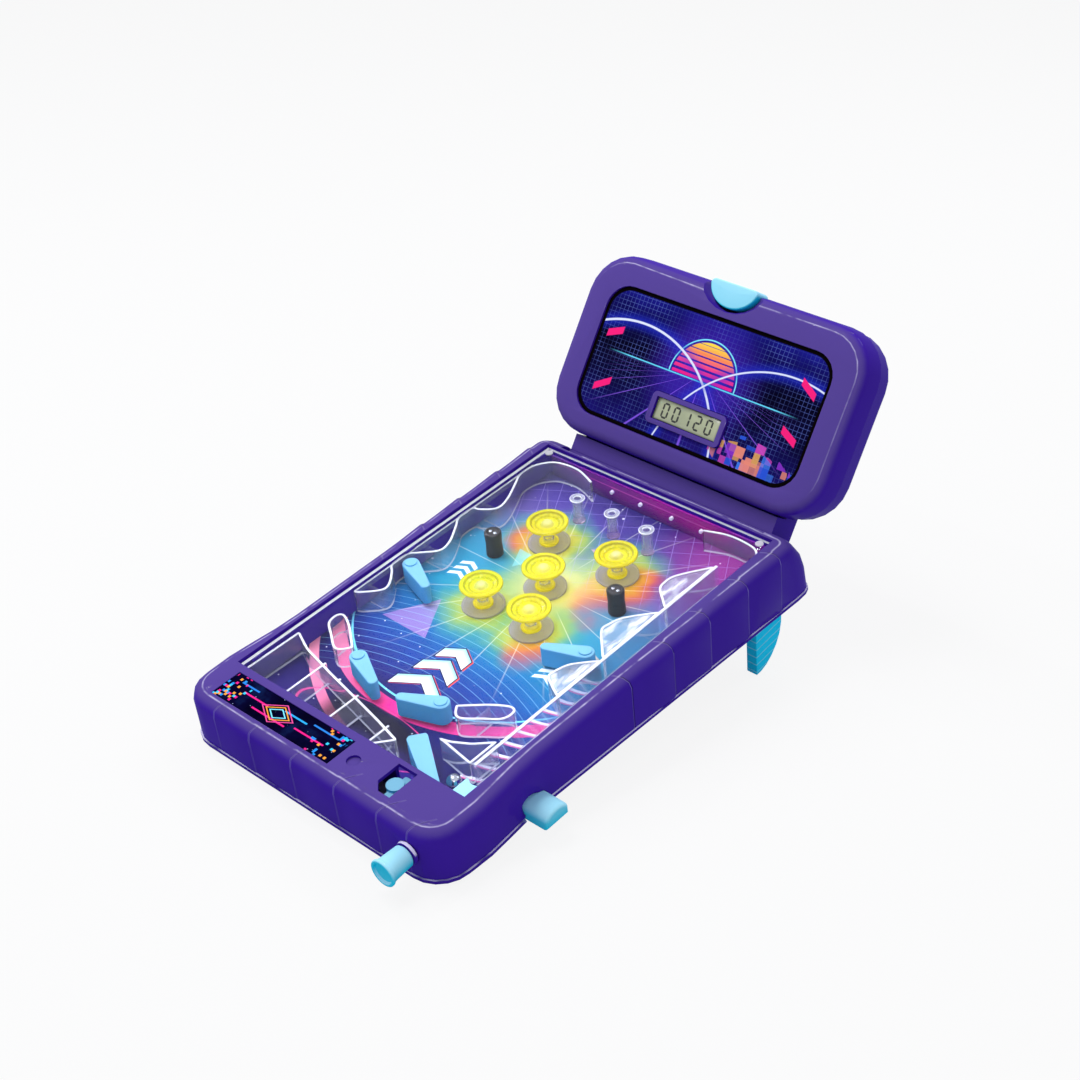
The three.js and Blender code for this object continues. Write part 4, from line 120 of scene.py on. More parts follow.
def placed(points, where=TABLE):
    """Millimetres in a frame to world metres: a turn about X, then the frame's origin added."""
    turn, origin = math.radians(where[0]), np.array(where[1])
    points = np.asarray(points, float) * 0.001
    x, y, z = points[..., 0], points[..., 1], points[..., 2]
    turned_y = y * math.cos(turn) - z * math.sin(turn)
    turned_z = y * math.sin(turn) + z * math.cos(turn)
    return np.stack([x, turned_y, turned_z], -1) + origin


def rounded(points, radius, steps=5, closed=False):
    """Run of points whose corners are parabolas: each starts and ends a radius away along the two
    sides, or halfway along a short side, with the corner as its control point."""
    corner = np.asarray(points, float)

    def towards(other):
        side = other - corner
        length = np.maximum(np.linalg.norm(side, axis=1, keepdims=True), 1e-9)
        return corner + side * np.minimum(radius / length, 0.5)

    start, end = towards(np.roll(corner, 1, 0))[:, None], towards(np.roll(corner, -1, 0))[:, None]
    t = np.linspace(0, 1, steps)[None, :, None]
    curve = (1 - t) ** 2 * start + 2 * t * (1 - t) * corner[:, None] + t ** 2 * end
    if closed:
        return curve.reshape(-1, corner.shape[1])
    return np.concatenate([corner[:1], curve[1:-1].reshape(-1, corner.shape[1]), corner[-1:]])


def spline(points, steps):
    """Catmull-Rom curve through the points: each span is a cubic whose end slopes are half the
    distance between the neighbours on either side."""
    p = np.asarray(points, float)
    p = np.concatenate([p[:1], p, p[-1:]])
    a, b, c, d = (p[i:len(p) - 3 + i, None] for i in range(4))
    t = np.linspace(0, 1, steps, endpoint=False)[None, :, None]
    slope_b, slope_c = (c - a) / 2, (d - b) / 2
    curve = (2 * b - 2 * c + slope_b + slope_c) * t ** 3
    curve += (3 * c - 3 * b - 2 * slope_b - slope_c) * t ** 2 + slope_b * t + b
    return np.concatenate([curve.reshape(-1, p.shape[1]), p[-1:]])


def even(points, spacing, closed=False):
    """The same run at equal steps of its own length, joined by straight lines."""
    p = np.asarray(points, float)
    if closed:
        p = np.concatenate([p, p[:1]])
    along = np.concatenate([[0], np.cumsum(np.linalg.norm(np.diff(p, axis=0), axis=1))])
    stops = np.linspace(0, along[-1], max(int(along[-1] / spacing), 3) + 1)
    if closed:
        stops = stops[:-1]
    return np.stack([np.interp(stops, along, p[:, i]) for i in range(p.shape[1])], -1)


def leftward(path, closed=False):
    """Unit direction to the left of a flat run at each point, across the line between the two
    neighbours."""
    if closed:
        along = np.roll(path, -1, 0) - np.roll(path, 1, 0)
    else:
        along = np.gradient(path, axis=0)
    along /= np.maximum(np.linalg.norm(along, axis=1, keepdims=True), 1e-9)
    return np.stack([-along[:, 1], along[:, 0]], -1)


def turned(profile, centre=(0, 0), segments=72, ripple=0.0, waves=0):
    """Profile of radius and height turned about Z: x and y are the radius times the cosine and sine
    of the angle. A ripple adds a cosine of the angle to the height where the third column says."""
    profile = np.asarray(profile, float)
    angle = np.linspace(0, 2 * np.pi, segments, endpoint=False)
    radius, height = profile[:, None, 0], profile[:, None, 1]
    x = centre[0] + radius * np.cos(angle)
    y = centre[1] + radius * np.sin(angle)
    z = height + 0 * angle
    if waves:
        z = z + profile[:, None, 2] * ripple * np.cos(waves * angle)
    return np.stack([x, y, z], -1), True


def turned_along_y(profile, x, z, segments=72):
    """Profile of radius and distance turned about an axis along Y at a given x and z."""
    profile = np.asarray(profile, float)
    angle = np.linspace(0, 2 * np.pi, segments, endpoint=False)
    radius, far = profile[:, None, 0], profile[:, None, 1]
    place = [x + radius * np.cos(angle), far + 0 * angle, z + radius * np.sin(angle)]
    return np.stack(place, -1), True


def coil(radius, wire, turns, length, steps=36, sides=10):
    """Round wire round Z: the middle follows a helix whose pitch eases to a wire's width at both
    ends, and the section is a circle across it."""
    t = np.linspace(0, 1, int(turns * steps) + 1)[:, None]
    ease = t + np.sin(2 * np.pi * t) * -0.10
    angle = 2 * np.pi * turns * t
    around = np.linspace(0, 2 * np.pi, sides, endpoint=False)[None, :]
    thick = np.where((t == 0) | (t == 1), 0.0, wire / 2)
    reach = radius + thick * np.cos(around)
    rise = wire / 2 + (length - wire) * ease + thick * np.sin(around)
    return np.stack([reach * np.cos(angle), reach * np.sin(angle), rise], -1), True


def wall(path, thickness, low, high, edge=0.35):
    """Upright wall along an open run: a rounded upright section is carried along the path, and its
    first and last sections draw in to the path to close the ends."""
    path = np.concatenate([path[:1], path, path[-1:]])
    half = thickness / 2
    section = rounded([[-half, low], [half, low], [half, high], [-half, high]], edge, 4, True)
    side = leftward(path[1:-1])
    side = np.concatenate([side[:1], side, side[-1:]])[:, None]
    offset = np.repeat(section[None, :, :1], len(path), 0)
    offset[[0, -1]] = 0
    flat = path[:, None] + side * offset
    height = np.broadcast_to(section[None, :, 1:], offset.shape)
    return np.concatenate([flat, height], -1), True


def ring_wall(outline, thickness, low, high, edge=0.35):
    """Upright wall round a closed outline, its outer face on the outline: a rounded section is
    carried round it, and drawn in to the left."""
    section = rounded([[0, low], [thickness, low], [thickness, high], [0, high]], edge, 4, True)
    section = np.concatenate([section, section[:1]])
    flat = outline[None] + leftward(outline, True)[None] * section[:, None, :1]
    height = np.broadcast_to(section[:, None, 1:], flat[..., :1].shape)
    return np.concatenate([flat, height], -1), True


def outlined(outline, profile):
    """Closed outline raised by a profile of inset and height: each ring is the outline moved to its
    left by the inset, and an inset of nan draws the ring in to the outline's middle."""
    profile = np.asarray(profile, float)
    inset = profile[:, None, :1]
    middle = outline.mean(0)
    flat = outline[None] + leftward(outline, True)[None] * np.nan_to_num(inset)
    flat = np.where(np.isnan(inset), middle, flat)
    height = np.broadcast_to(profile[:, None, 1:], flat[..., :1].shape)
    return np.concatenate([flat, height], -1), True


def slab(low, high, edge):
    """Profile of a solid with flat ends for outlined(): middle, lower edge, rounded upper edge and
    middle again."""
    lower = [[np.nan, low], [0, low]]
    a = np.linspace(0, np.pi / 2, 5)[:, None]
    upper = np.concatenate([edge * (1 - np.cos(a)), high - edge * (1 - np.sin(a))], 1)
    return np.concatenate([lower, upper, [[np.nan, high]]])


def grid_mesh(name, patches, where):
    """Grids of points to one mesh: neighbours in a grid are joined by four-sided faces, doubles are
    merged, and faces are turned outwards, so that the signed volume is above 0."""
    verts, faces, start = [], [], 0
    for grid, around in patches:
        rows, columns = grid.shape[:2]
        index = np.arange(rows * columns).reshape(rows, columns) + start
        ahead = np.roll(index, -1, 1)
        if not around:
            index, ahead = index[:, :-1], ahead[:, :-1]
        quads = np.stack([index[:-1], ahead[:-1], ahead[1:], index[1:]], -1)
        verts.append(placed(grid, where).reshape(-1, 3))
        faces.append(quads.reshape(-1, 4))
        start += rows * columns
    mesh = bpy.data.meshes.new(name)
    mesh.from_pydata(np.concatenate(verts), [], np.concatenate(faces))
    work = bmesh.new()
    work.from_mesh(mesh)
    bmesh.ops.remove_doubles(work, verts=work.verts, dist=DOUBLES)
    bmesh.ops.dissolve_degenerate(work, edges=work.edges, dist=NO_LENGTH)
    bmesh.ops.recalc_face_normals(work, faces=work.faces)
    if work.calc_volume(signed=True) < 0:
        bmesh.ops.reverse_faces(work, faces=work.faces)
    work.to_mesh(mesh)
    work.free()
    return mesh


def shown(name, mesh, look, angle):
    """Object of a mesh with its finish, smooth but for edges sharper than the angle."""
    mesh.shade_smooth()
    mesh.set_sharp_from_angle(angle=math.radians(angle))
    piece = bpy.data.objects.new(name, mesh)
    bpy.context.scene.collection.objects.link(piece)
    mesh.materials.append(finish(look))
    return piece


def make_piece(name, patches, look, node=None, body="case", where=TABLE, angle=38):
    """Piece made from grids of points, on its body, in place of the CAD node that it replaces."""
    piece = shown(name, grid_mesh(name, patches, where), look, angle)
    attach(piece, body)
    if node:
        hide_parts(node)
    return piece


def refined(node, look, body="case", part=1, angle=38):
    """Copy of a CAD node that takes its place: doubles merged, flat areas joined, and on each edge
    sharper than the angle a small round, which is the chosen one divided by part."""
    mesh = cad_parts[node].data.copy()
    mesh.materials.clear()
    work = bmesh.new()
    work.from_mesh(mesh)
    bmesh.ops.remove_doubles(work, verts=work.verts, dist=CAD_DOUBLES)
    bmesh.ops.dissolve_limit(
        work, angle_limit=math.radians(0.6), verts=work.verts, edges=work.edges)
    work.to_mesh(mesh)
    work.free()
    piece = shown(node + "_moulding", mesh, look, angle)
    bevel = piece.modifiers.new("Edge round", "BEVEL")
    bevel.width = mm("edge_round") / 1000 / part
    bevel.segments = 2
    bevel.limit_method = "ANGLE"
    bevel.angle_limit = math.radians(angle)
    bevel.harden_normals = True
    bevel.use_clamp_overlap = True
    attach(piece, body)
    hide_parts(node)


# Finishes

def hue(code):
    """Colour written as six hexadecimal digits, as the linear numbers that a shader takes."""
    parts = [int(code[i:i + 2], 16) / 255 for i in (0, 2, 4)]
    linear = [p / 12.92 if p <= 0.04045 else ((p + 0.055) / 1.055) ** 2.4 for p in parts]
    return (*linear, 1.0)


def feed(socket, value):
    """Gives a socket a link, a plain value, or a colour as six digits or three numbers."""
    if isinstance(value, Value):
        value = value.socket
    if isinstance(value, bpy.types.NodeSocket):
        socket.id_data.links.new(value, socket)
    elif isinstance(value, str):
        socket.default_value = hue(value)
    elif socket.type == "RGBA":
        socket.default_value = (*value[:3], 1.0)
    else:
        socket.default_value = value


def add_node(tree, kind, inputs=None, **settings):
    """New node with its settings, and its inputs fed by name or number."""
    node = tree.nodes.new(kind)
    for name, value in settings.items():
        setattr(node, name, value)
    for name, value in (inputs or {}).items():
        feed(node.inputs[name], value)
    return node


class Value:
    """A number worked out by a material's nodes: sums, products and the like add Math nodes."""

    def __init__(self, socket):
        self.socket = socket

    def math(self, operation, *others):
        inputs = dict(enumerate((self, *others)))
        return Value(add_node(self.socket.id_data, "ShaderNodeMath", inputs, operation=operation).outputs[0])

    def __add__(self, other):
        return self.math("ADD", other)

    def __sub__(self, other):
        return self.math("SUBTRACT", other)

    def __mul__(self, other):
        return self.math("MULTIPLY", other)

    def __truediv__(self, other):
        return self.math("DIVIDE", other)

    def most(self, other):
        return self.math("MAXIMUM", other)

    def least(self, other):
        return self.math("MINIMUM", other)

    def flipped(self):
        return self * -1 + 1

    def size(self):
        return self.math("ABSOLUTE")

    def rise(self, low, high):
        """0 below low and 1 above high, with a smooth step between; low may be above high."""
        ends = (low, high, 0.0, 1.0) if low < high else (high, low, 1.0, 0.0)
        inputs = dict(zip(("Value", "From Min", "From Max", "To Min", "To Max"), (self, *ends)))
        node = add_node(
            self.socket.id_data, "ShaderNodeMapRange", inputs, interpolation_type="SMOOTHSTEP")
        return Value(node.outputs["Result"])

    def stripe(self, place, half, soft=0.12):
        """1 within half of a place, and 0 beyond."""
        return (self - place).size().rise(half + soft, half - soft)

    def comb(self, spacing, half, soft=0.12):
        """Stripes at every multiple of a spacing."""
        return self.math("PINGPONG", spacing / 2).rise(half + soft, half - soft)


class Maker:
    """Builds one material. Places are in millimetres in a piece's own frame."""

    def __init__(self, name, where=TABLE):
        self.material, self.where = bpy.data.materials.new(name), where
        self.material.use_nodes = True
        self.tree = self.material.node_tree
        self.tree.nodes.clear()
        self.place = self.add("ShaderNodeMapping", {
            "Vector": self.add("ShaderNodeTexCoord").outputs["Object"], "Location": where[1],
            "Rotation": (math.radians(where[0]), 0, 0), "Scale": (0.001, 0.001, 0.001),
        }, vector_type="TEXTURE").outputs["Vector"]
        self.x, self.y, self.z = self.parts(self.place)
        self.shader = self.add("ShaderNodeBsdfPrincipled")
        self.output = self.add("ShaderNodeOutputMaterial", {"Surface": self.shader.outputs[0]})

    def add(self, kind, inputs=None, **settings):
        return add_node(self.tree, kind, inputs, **settings)

    def parts(self, vector):
        """The three numbers of a vector or colour."""
        return [Value(part) for part in self.add("ShaderNodeSeparateXYZ", {0: vector}).outputs]

    def put(self, socket, value):
        """Gives a shader socket a value, a colour or a link."""
        feed(self.shader.inputs[socket], value)

    @property
    def tone(self):
        """What the shader's base colour is linked to."""
        return self.shader.inputs["Base Color"].links[0].from_socket

    def lay(self, over, amount):
        """Lays a colour over the base colour by an amount from 0 to 1."""
        self.put("Base Color", self.blend(self.tone, over, amount))

    def noise(self, scale, detail=3.0, rough=0.55, stretch=None):
        """Cloudy pattern between 0 and 1 with about scale features per millimetre."""
        place = self.place
        if stretch:
            place = self.add("ShaderNodeMapping", {"Vector": place, "Scale": stretch}).outputs["Vector"]
        inputs = {"Vector": place, "Scale": scale, "Detail": detail, "Roughness": rough}
        return Value(self.add("ShaderNodeTexNoise", inputs).outputs["Fac"])

    def cells(self, scale):
        """Distance to the nearest of many scattered points, and a random number for each."""
        node = self.add("ShaderNodeTexVoronoi", {"Vector": self.place, "Scale": scale}, feature="F1")
        return Value(node.outputs["Distance"]), self.parts(node.outputs["Color"])[0]

    def squares(self, size, seed=0.0):
        """Three random numbers for each square of a grid."""
        column, row = self.x / size, self.y / size
        spot = self.add("ShaderNodeCombineXYZ", {
            0: column.math("FLOOR"), 1: row.math("FLOOR"), 2: seed})
        chance = self.add(
            "ShaderNodeTexWhiteNoise", {"Vector": spot.outputs[0]}, noise_dimensions="3D")
        return self.parts(chance.outputs["Color"])

    def facing(self, direction):
        """How squarely the surface faces a direction, 1 when it faces it straight on."""
        normal = self.add("ShaderNodeNewGeometry").outputs["Normal"]
        node = self.add("ShaderNodeVectorMath", {0: normal, 1: direction}, operation="DOT_PRODUCT")
        return Value(node.outputs["Value"])

    def away(self, x, y, stretch=(1.0, 1.0)):
        """Distance on the plane from a place, each axis divided by its stretch."""
        across, along = (self.x - x) * (1 / stretch[0]), (self.y - y) * (1 / stretch[1])
        return (across * across + along * along).math("SQRT")

    def ramp(self, value, stops, mode="LINEAR"):
        """Colour along a value: pairs of position and six-digit colour. A new position can change
        the order of the stops, so all positions are set before the colours."""
        node = self.add("ShaderNodeValToRGB", {"Fac": value})
        node.color_ramp.interpolation = mode
        elements = node.color_ramp.elements
        while len(elements) < len(stops):
            elements.new(0.5)
        for element, stop in zip(elements, stops):
            element.position = stop[0]
        for element, stop in zip(elements, stops):
            element.color = hue(stop[1])
        return node.outputs["Color"]

    def blend(self, under, over, amount):
        """Colour over another by an amount from 0 to 1."""
        inputs = {6: under, 7: over, "Factor": amount}
        return self.add("ShaderNodeMix", inputs, data_type="RGBA").outputs[2]

    def bump(self, height, distance, strength, keep=False):
        """Relief from a height; with keep, it is added to the relief that is there."""
        inputs = {"Strength": strength, "Distance": distance, "Height": height}
        if keep:
            inputs["Normal"] = self.shader.inputs["Normal"].links[0].from_socket
        self.put("Normal", self.add("ShaderNodeBump", inputs).outputs["Normal"])

    def shadow_through(self, tint):
        """Lets lamps shine through: shadow rays meet a see-through shader of the tint."""
        ray = self.add("ShaderNodeLightPath").outputs["Is Shadow Ray"]
        open_way = self.add("ShaderNodeBsdfTransparent", {"Color": tint})
        mix = self.add("ShaderNodeMixShader", {
            "Fac": ray, 1: self.shader.outputs[0], 2: open_way.outputs[0]})
        feed(self.output.inputs["Surface"], mix.outputs[0])


def shaded(colour, share):
    """A colour a share darker (below 1) or lighter (above 1)."""
    return tuple(min(c * share, 1.0) for c in colour[:3])


def moulded_plastic(name, colour, roughness, where=TABLE, coat=0.35):
    """Glossy moulding: colour that drifts slightly with the flow of the plastic, a fine haze and a
    faint grain in the gloss, and small scuffs that are rougher."""
    make = Maker(name, where)
    flow = make.noise(0.012, 2.0)
    fine = make.noise(1.1, 4.0, 0.65)
    scuff = make.noise(0.35, 5.0, 0.7, (1.0, 3.5, 1.0)).rise(0.62, 0.72)
    make.put("Base Color", make.blend(shaded(colour, 0.93), shaded(colour, 1.06), flow))
    make.lay(shaded(colour, 1.12), scuff * 0.10)
    make.put("Roughness", fine * 0.06 + roughness + scuff * 0.05)
    make.put("Specular IOR Level", 0.0)
    make.put("Coat Weight", coat)
    make.put("Coat Roughness", 0.03)
    make.put("Coat IOR", 1.25)
    make.bump(fine + make.noise(0.06, 1.0) * 2.5, 0.00003, 0.55)
    return make


def case_plastic(name, colour):
    """Case moulding: the glossy plastic, with the joint lines of its overlapping rim plates. Each line
    runs slantwise over the rim and then down the wall, as a groove with a lip; a painted highlight makes
    the lip, and the groove off the roll, pale. The joints are places along the side and across the front."""
    make = moulded_plastic(name, colour, 0.3, coat=0.15)
    x, y = make.x, make.y
    inward = (x.size() * -1 + 112).most(0.0)
    along = y + inward * 0.58
    side = x.size().rise(100.7, 101.2) * y.rise(-60, -58)
    deep = (y + 186).most(0.0)
    across = x - deep * 0.65
    front = deep.rise(15.2, 14.6) * 0.55
    side_joints, front_joints = (-11.9, 28.1, 64.9, 104.8, 139.8), (-79.5, -46.2, -8.3, 29.6, 65.6, 90.6)
    groove = lip = None
    for value, area, stops in ((along, side, side_joints), (across, front, front_joints)):
        for stop in stops:
            line = value.stripe(stop, 0.3, 0.12) * area
            edge = value.stripe(stop - 0.7, 0.22, 0.2) * area
            groove = groove.most(line) if groove else line
            lip = lip.most(edge) if lip else edge
    roll = x.size().rise(104.0, 106.0) * x.size().rise(112.6, 111.6)
    roll = roll.most(deep.rise(3.0, 4.0) * deep.rise(12.0, 10.0))
    make.lay(shaded(colour, 0.35), groove * roll * 0.85)
    # painted highlight: pale on each joint's lip, and on the joint itself off the roll, stronger near the
    # top
    pale = lip.most(groove * roll.flipped() * 0.8)
    make.lay("A79BE8", pale * (make.z.rise(-14, -4) * 0.25 + 0.2))
    # painted sheen on the top faces and painted highlight along the crest
    paint_sheen_and_crest_highlight(make)
    make.bump(lip - groove, 0.0003, 0.9, keep=True)
    return make


def base_plastic(name, colour):
    """Lower case moulding: the glossy plastic with a painted highlight: a pale line on the narrow lip that
    looks up.
    """
    make = moulded_plastic(name, colour, 0.28, coat=0.12)
    # painted highlight: pale on the faces that look up, broken by a noise
    lip = make.facing((0, 0, 1)).rise(0.2, 0.5) * make.noise(0.04, 2.0).rise(0.3, 0.5)
    make.lay("E9E4FF", lip * 0.85)
    return make


def nearest(make, places):
    """Distance from the nearest of some upright axes."""
    out = make.away(*places[0])
    for place in places[1:]:
        out = out.least(make.away(*place))
    return out


def paint_sheen_and_crest_highlight(make):
    """Painted sheen and highlight: faces on top are painted greyer, as the haze of the room's light
    on the gloss, and a thin pale painted highlight line runs where they start to roll over into the walls.
    """
    slope = math.radians(make.where[0])
    level = make.facing((0, -math.sin(slope), math.cos(slope)))
    # painted sheen: faces that look up are greyed
    make.lay("8A7E70", level.rise(0.35, 0.93) * 0.22)
    # painted highlight: a thin pale line on the crest, only on faces turned towards the lamps, broken into
    # patches
    line = level.stripe(0.955, 0.011, 0.012) * make.facing((0.35, -0.1, 0.93)).rise(0.45, 0.8)
    patches = make.noise(0.05, 3.0, 0.6).rise(0.34, 0.56)
    gloss = make.noise(0.16, 2.0).rise(0.3, 0.7) * 0.4 + 0.6
    make.lay("E4DEFF", line * patches * gloss * 0.62)


def head_plastic(name, colour):
    """Head moulding: the glossy plastic with a painted sheen on its top faces and a thin pale painted
    highlight round its face.
    """
    make = moulded_plastic(name, colour, 0.3, HEAD, 0.15)
    paint_sheen_and_crest_highlight(make)
    return make


def clear_plastic(name, tint, roughness=0.0, cloud=0.0, bend=1.1, lit_edge=None, coat=0.6):
    """Clear moulding: light goes through with a slight tint, and faint flow lines move its gloss.
    Near the height of a lit edge and just above the foot, where the plastic pipes light out, a
    painted highlight makes it white."""
    make = Maker(name)
    flow = make.noise(0.25, 3.0, 0.6, (1.0, 1.0, 2.5))
    make.put("Base Color", make.blend(tint, shaded(tint, 0.96), flow))
    if lit_edge is None:
        make.put("Transmission Weight", 1.0 - cloud)
    else:
        # painted highlight: white, and less see-through, at the lit edge and above the foot
        edge = make.z.rise(lit_edge - 0.9, lit_edge - 0.1)
        foot = make.z.rise(RAIL_BOTTOM + 0.9, RAIL_BOTTOM + 0.2) * 0.8
        painted_edge_light = (edge + foot) * (flow * 0.5 + 0.65)
        make.lay("FFFFFF", painted_edge_light)
        make.put("Transmission Weight", (painted_edge_light * 0.75 + cloud).flipped())
    make.put("Roughness", flow * 0.02 + roughness if roughness else 0.0)
    make.put("IOR", bend)
    make.put("Coat Weight", coat)
    make.put("Coat Roughness", 0.03)
    make.bump(flow, 0.00006, 0.35)
    make.shadow_through(shaded(tint, 0.97))
    return make


def cover_plastic(name, tint):
    """Cover sheet: clear, with a painted highlight in white along its cut edges, most on the left, and on
    its studs.
    """
    make = clear_plastic(name, tint, 0.0, 0.0, 1.03, coat=0.25)
    # painted highlight: white along the cut edges, on the studs, and strongest along the left edge
    rim = (make.x.size() - 99.7).most(make.y.size() - 148.5).rise(-0.7, -0.4)
    painted_edge_light = rim.most(make.z.rise(0.3, 0.6)) * 0.55
    painted_edge_light = painted_edge_light.most(make.x.rise(-98.5, -98.8) * 0.9)
    make.lay("FFFFFF", painted_edge_light)
    make.put("Transmission Weight", painted_edge_light.flipped())
    return make


def lid_plastic(name, tint):
    """Lids of the hollow blocks: clear, with broad painted highlight streaks in white."""
    make = clear_plastic(name, tint, 0.0, 0.1, 1.12)
    # painted highlight: broad white streaks that make the lids less see-through
    painted_highlight_streak = make.noise(0.1, 2.0, 0.5, (1.6, 0.5, 1.0)).rise(0.42, 0.68)
    make.lay("FFFFFF", painted_highlight_streak)
    make.put("Transmission Weight", (painted_highlight_streak * 0.5 + 0.08).flipped())
    return make


def post_plastic(name, tint):
    """Hollow posts: clear, with painted highlights in white on the two edges of the mouth and faintly on
    the top, and a painted pink reflection near the foot.
    """
    make = clear_plastic(name, tint, 0.0, 0.1, 1.15)
    out = nearest(make, CLEAR_POSTS)
    # painted highlight: white on the mouth's two edges and faintly on the top
    rims = out.stripe(5.3, 0.3, 0.2).most(out.stripe(2.7, 0.25, 0.2))
    painted_edge_light = rims * make.z.rise(-3.6, -3.2)
    painted_edge_light = painted_edge_light.most(make.z.rise(-2.6, -2.45) * 0.25)
    # painted reflection: pink near the foot
    foot = make.z.rise(-13.0, -20.5) * 0.35
    make.lay("FF9AC8", foot)
    make.lay("FFFFFF", painted_edge_light)
    make.put("Transmission Weight", (painted_edge_light * 0.8 + 0.08).flipped())
    return make


def bumper_plastic(name, tint):
    """Bumper caps: see-through yellow, deeper on the rim and on two rings; a painted highlight makes the
    middle pale, and a faint emission is a painted glow.
    """
    make = clear_plastic(name, tint, 0.03, 0.36, 1.18)
    out = nearest(make, BUMPERS)
    rings = out.stripe(11.4, 0.55, 0.35).most(out.stripe(8.4, 0.4, 0.3) * 0.8)
    rings = rings.most(out.rise(14.1, 14.9) * 0.7)
    make.lay("A39600", rings * 0.7)
    # painted highlight: pale in the middle of each cap
    make.lay("FFFBC8", out.rise(6.5, 1.5) * 0.8)
    # painted glow: faint emission of the cap's own colour
    make.put("Emission Color", tint)
    make.put("Emission Strength", 0.04)
    return make


def brushed_steel(name, colour, roughness=0.16):
    """Steel wire and pins: bright metal with fine drawn lines in its gloss."""
    make = Maker(name)
    lines = make.noise(2.0, 4.0, 0.7, (1.0, 1.0, 8.0))
    make.put("Base Color", make.blend(shaded(colour, 0.82), shaded(colour, 1.04), lines))
    make.put("Metallic", 1.0)
    make.put("Roughness", lines * 0.14 + roughness)
    make.bump(lines, 0.00002, 0.4)
    return make


def control_plastic(name, colour, deep):
    """Controls: the glossy plastic, with painted shade: a deeper colour on the faces that don't look up."""
    make = moulded_plastic(name, colour, 0.3, coat=0.1)
    # painted shade: the deep colour on faces turned away from up
    make.put("Base Color", make.blend(deep, make.tone, make.facing((0, 0, 1)).rise(-0.3, 0.75)))
    return make


def leg_plastic(name, colour):
    """Legs: the controls' plastic with low ribs across it for the fingers, painted paler along the ribs
    as a painted highlight.
    """
    make = moulded_plastic(name, colour, 0.3, coat=0.1)
    ribs = (make.z - make.y * 0.08 + make.noise(0.2, 1.0)).comb(6.5, 0.45, 0.4)
    # painted highlight: paler along the ribs
    make.lay("B5ECFF", ribs * 0.4)
    make.bump(ribs, 0.0004, 0.7)
    return make


def soft_rubber(name, colour):
    """Rubber: dark and matt, with a fine bloom and pits."""
    make = Maker(name)
    bloom, pits = make.noise(0.18, 3.0), make.noise(2.4, 4.0, 0.7)
    make.put("Base Color", make.blend(shaded(colour, 0.8), shaded(colour, 1.9), bloom * 0.7))
    make.put("Roughness", pits * 0.2 + 0.42)
    make.bump(pits, 0.00006, 0.6)
    return make


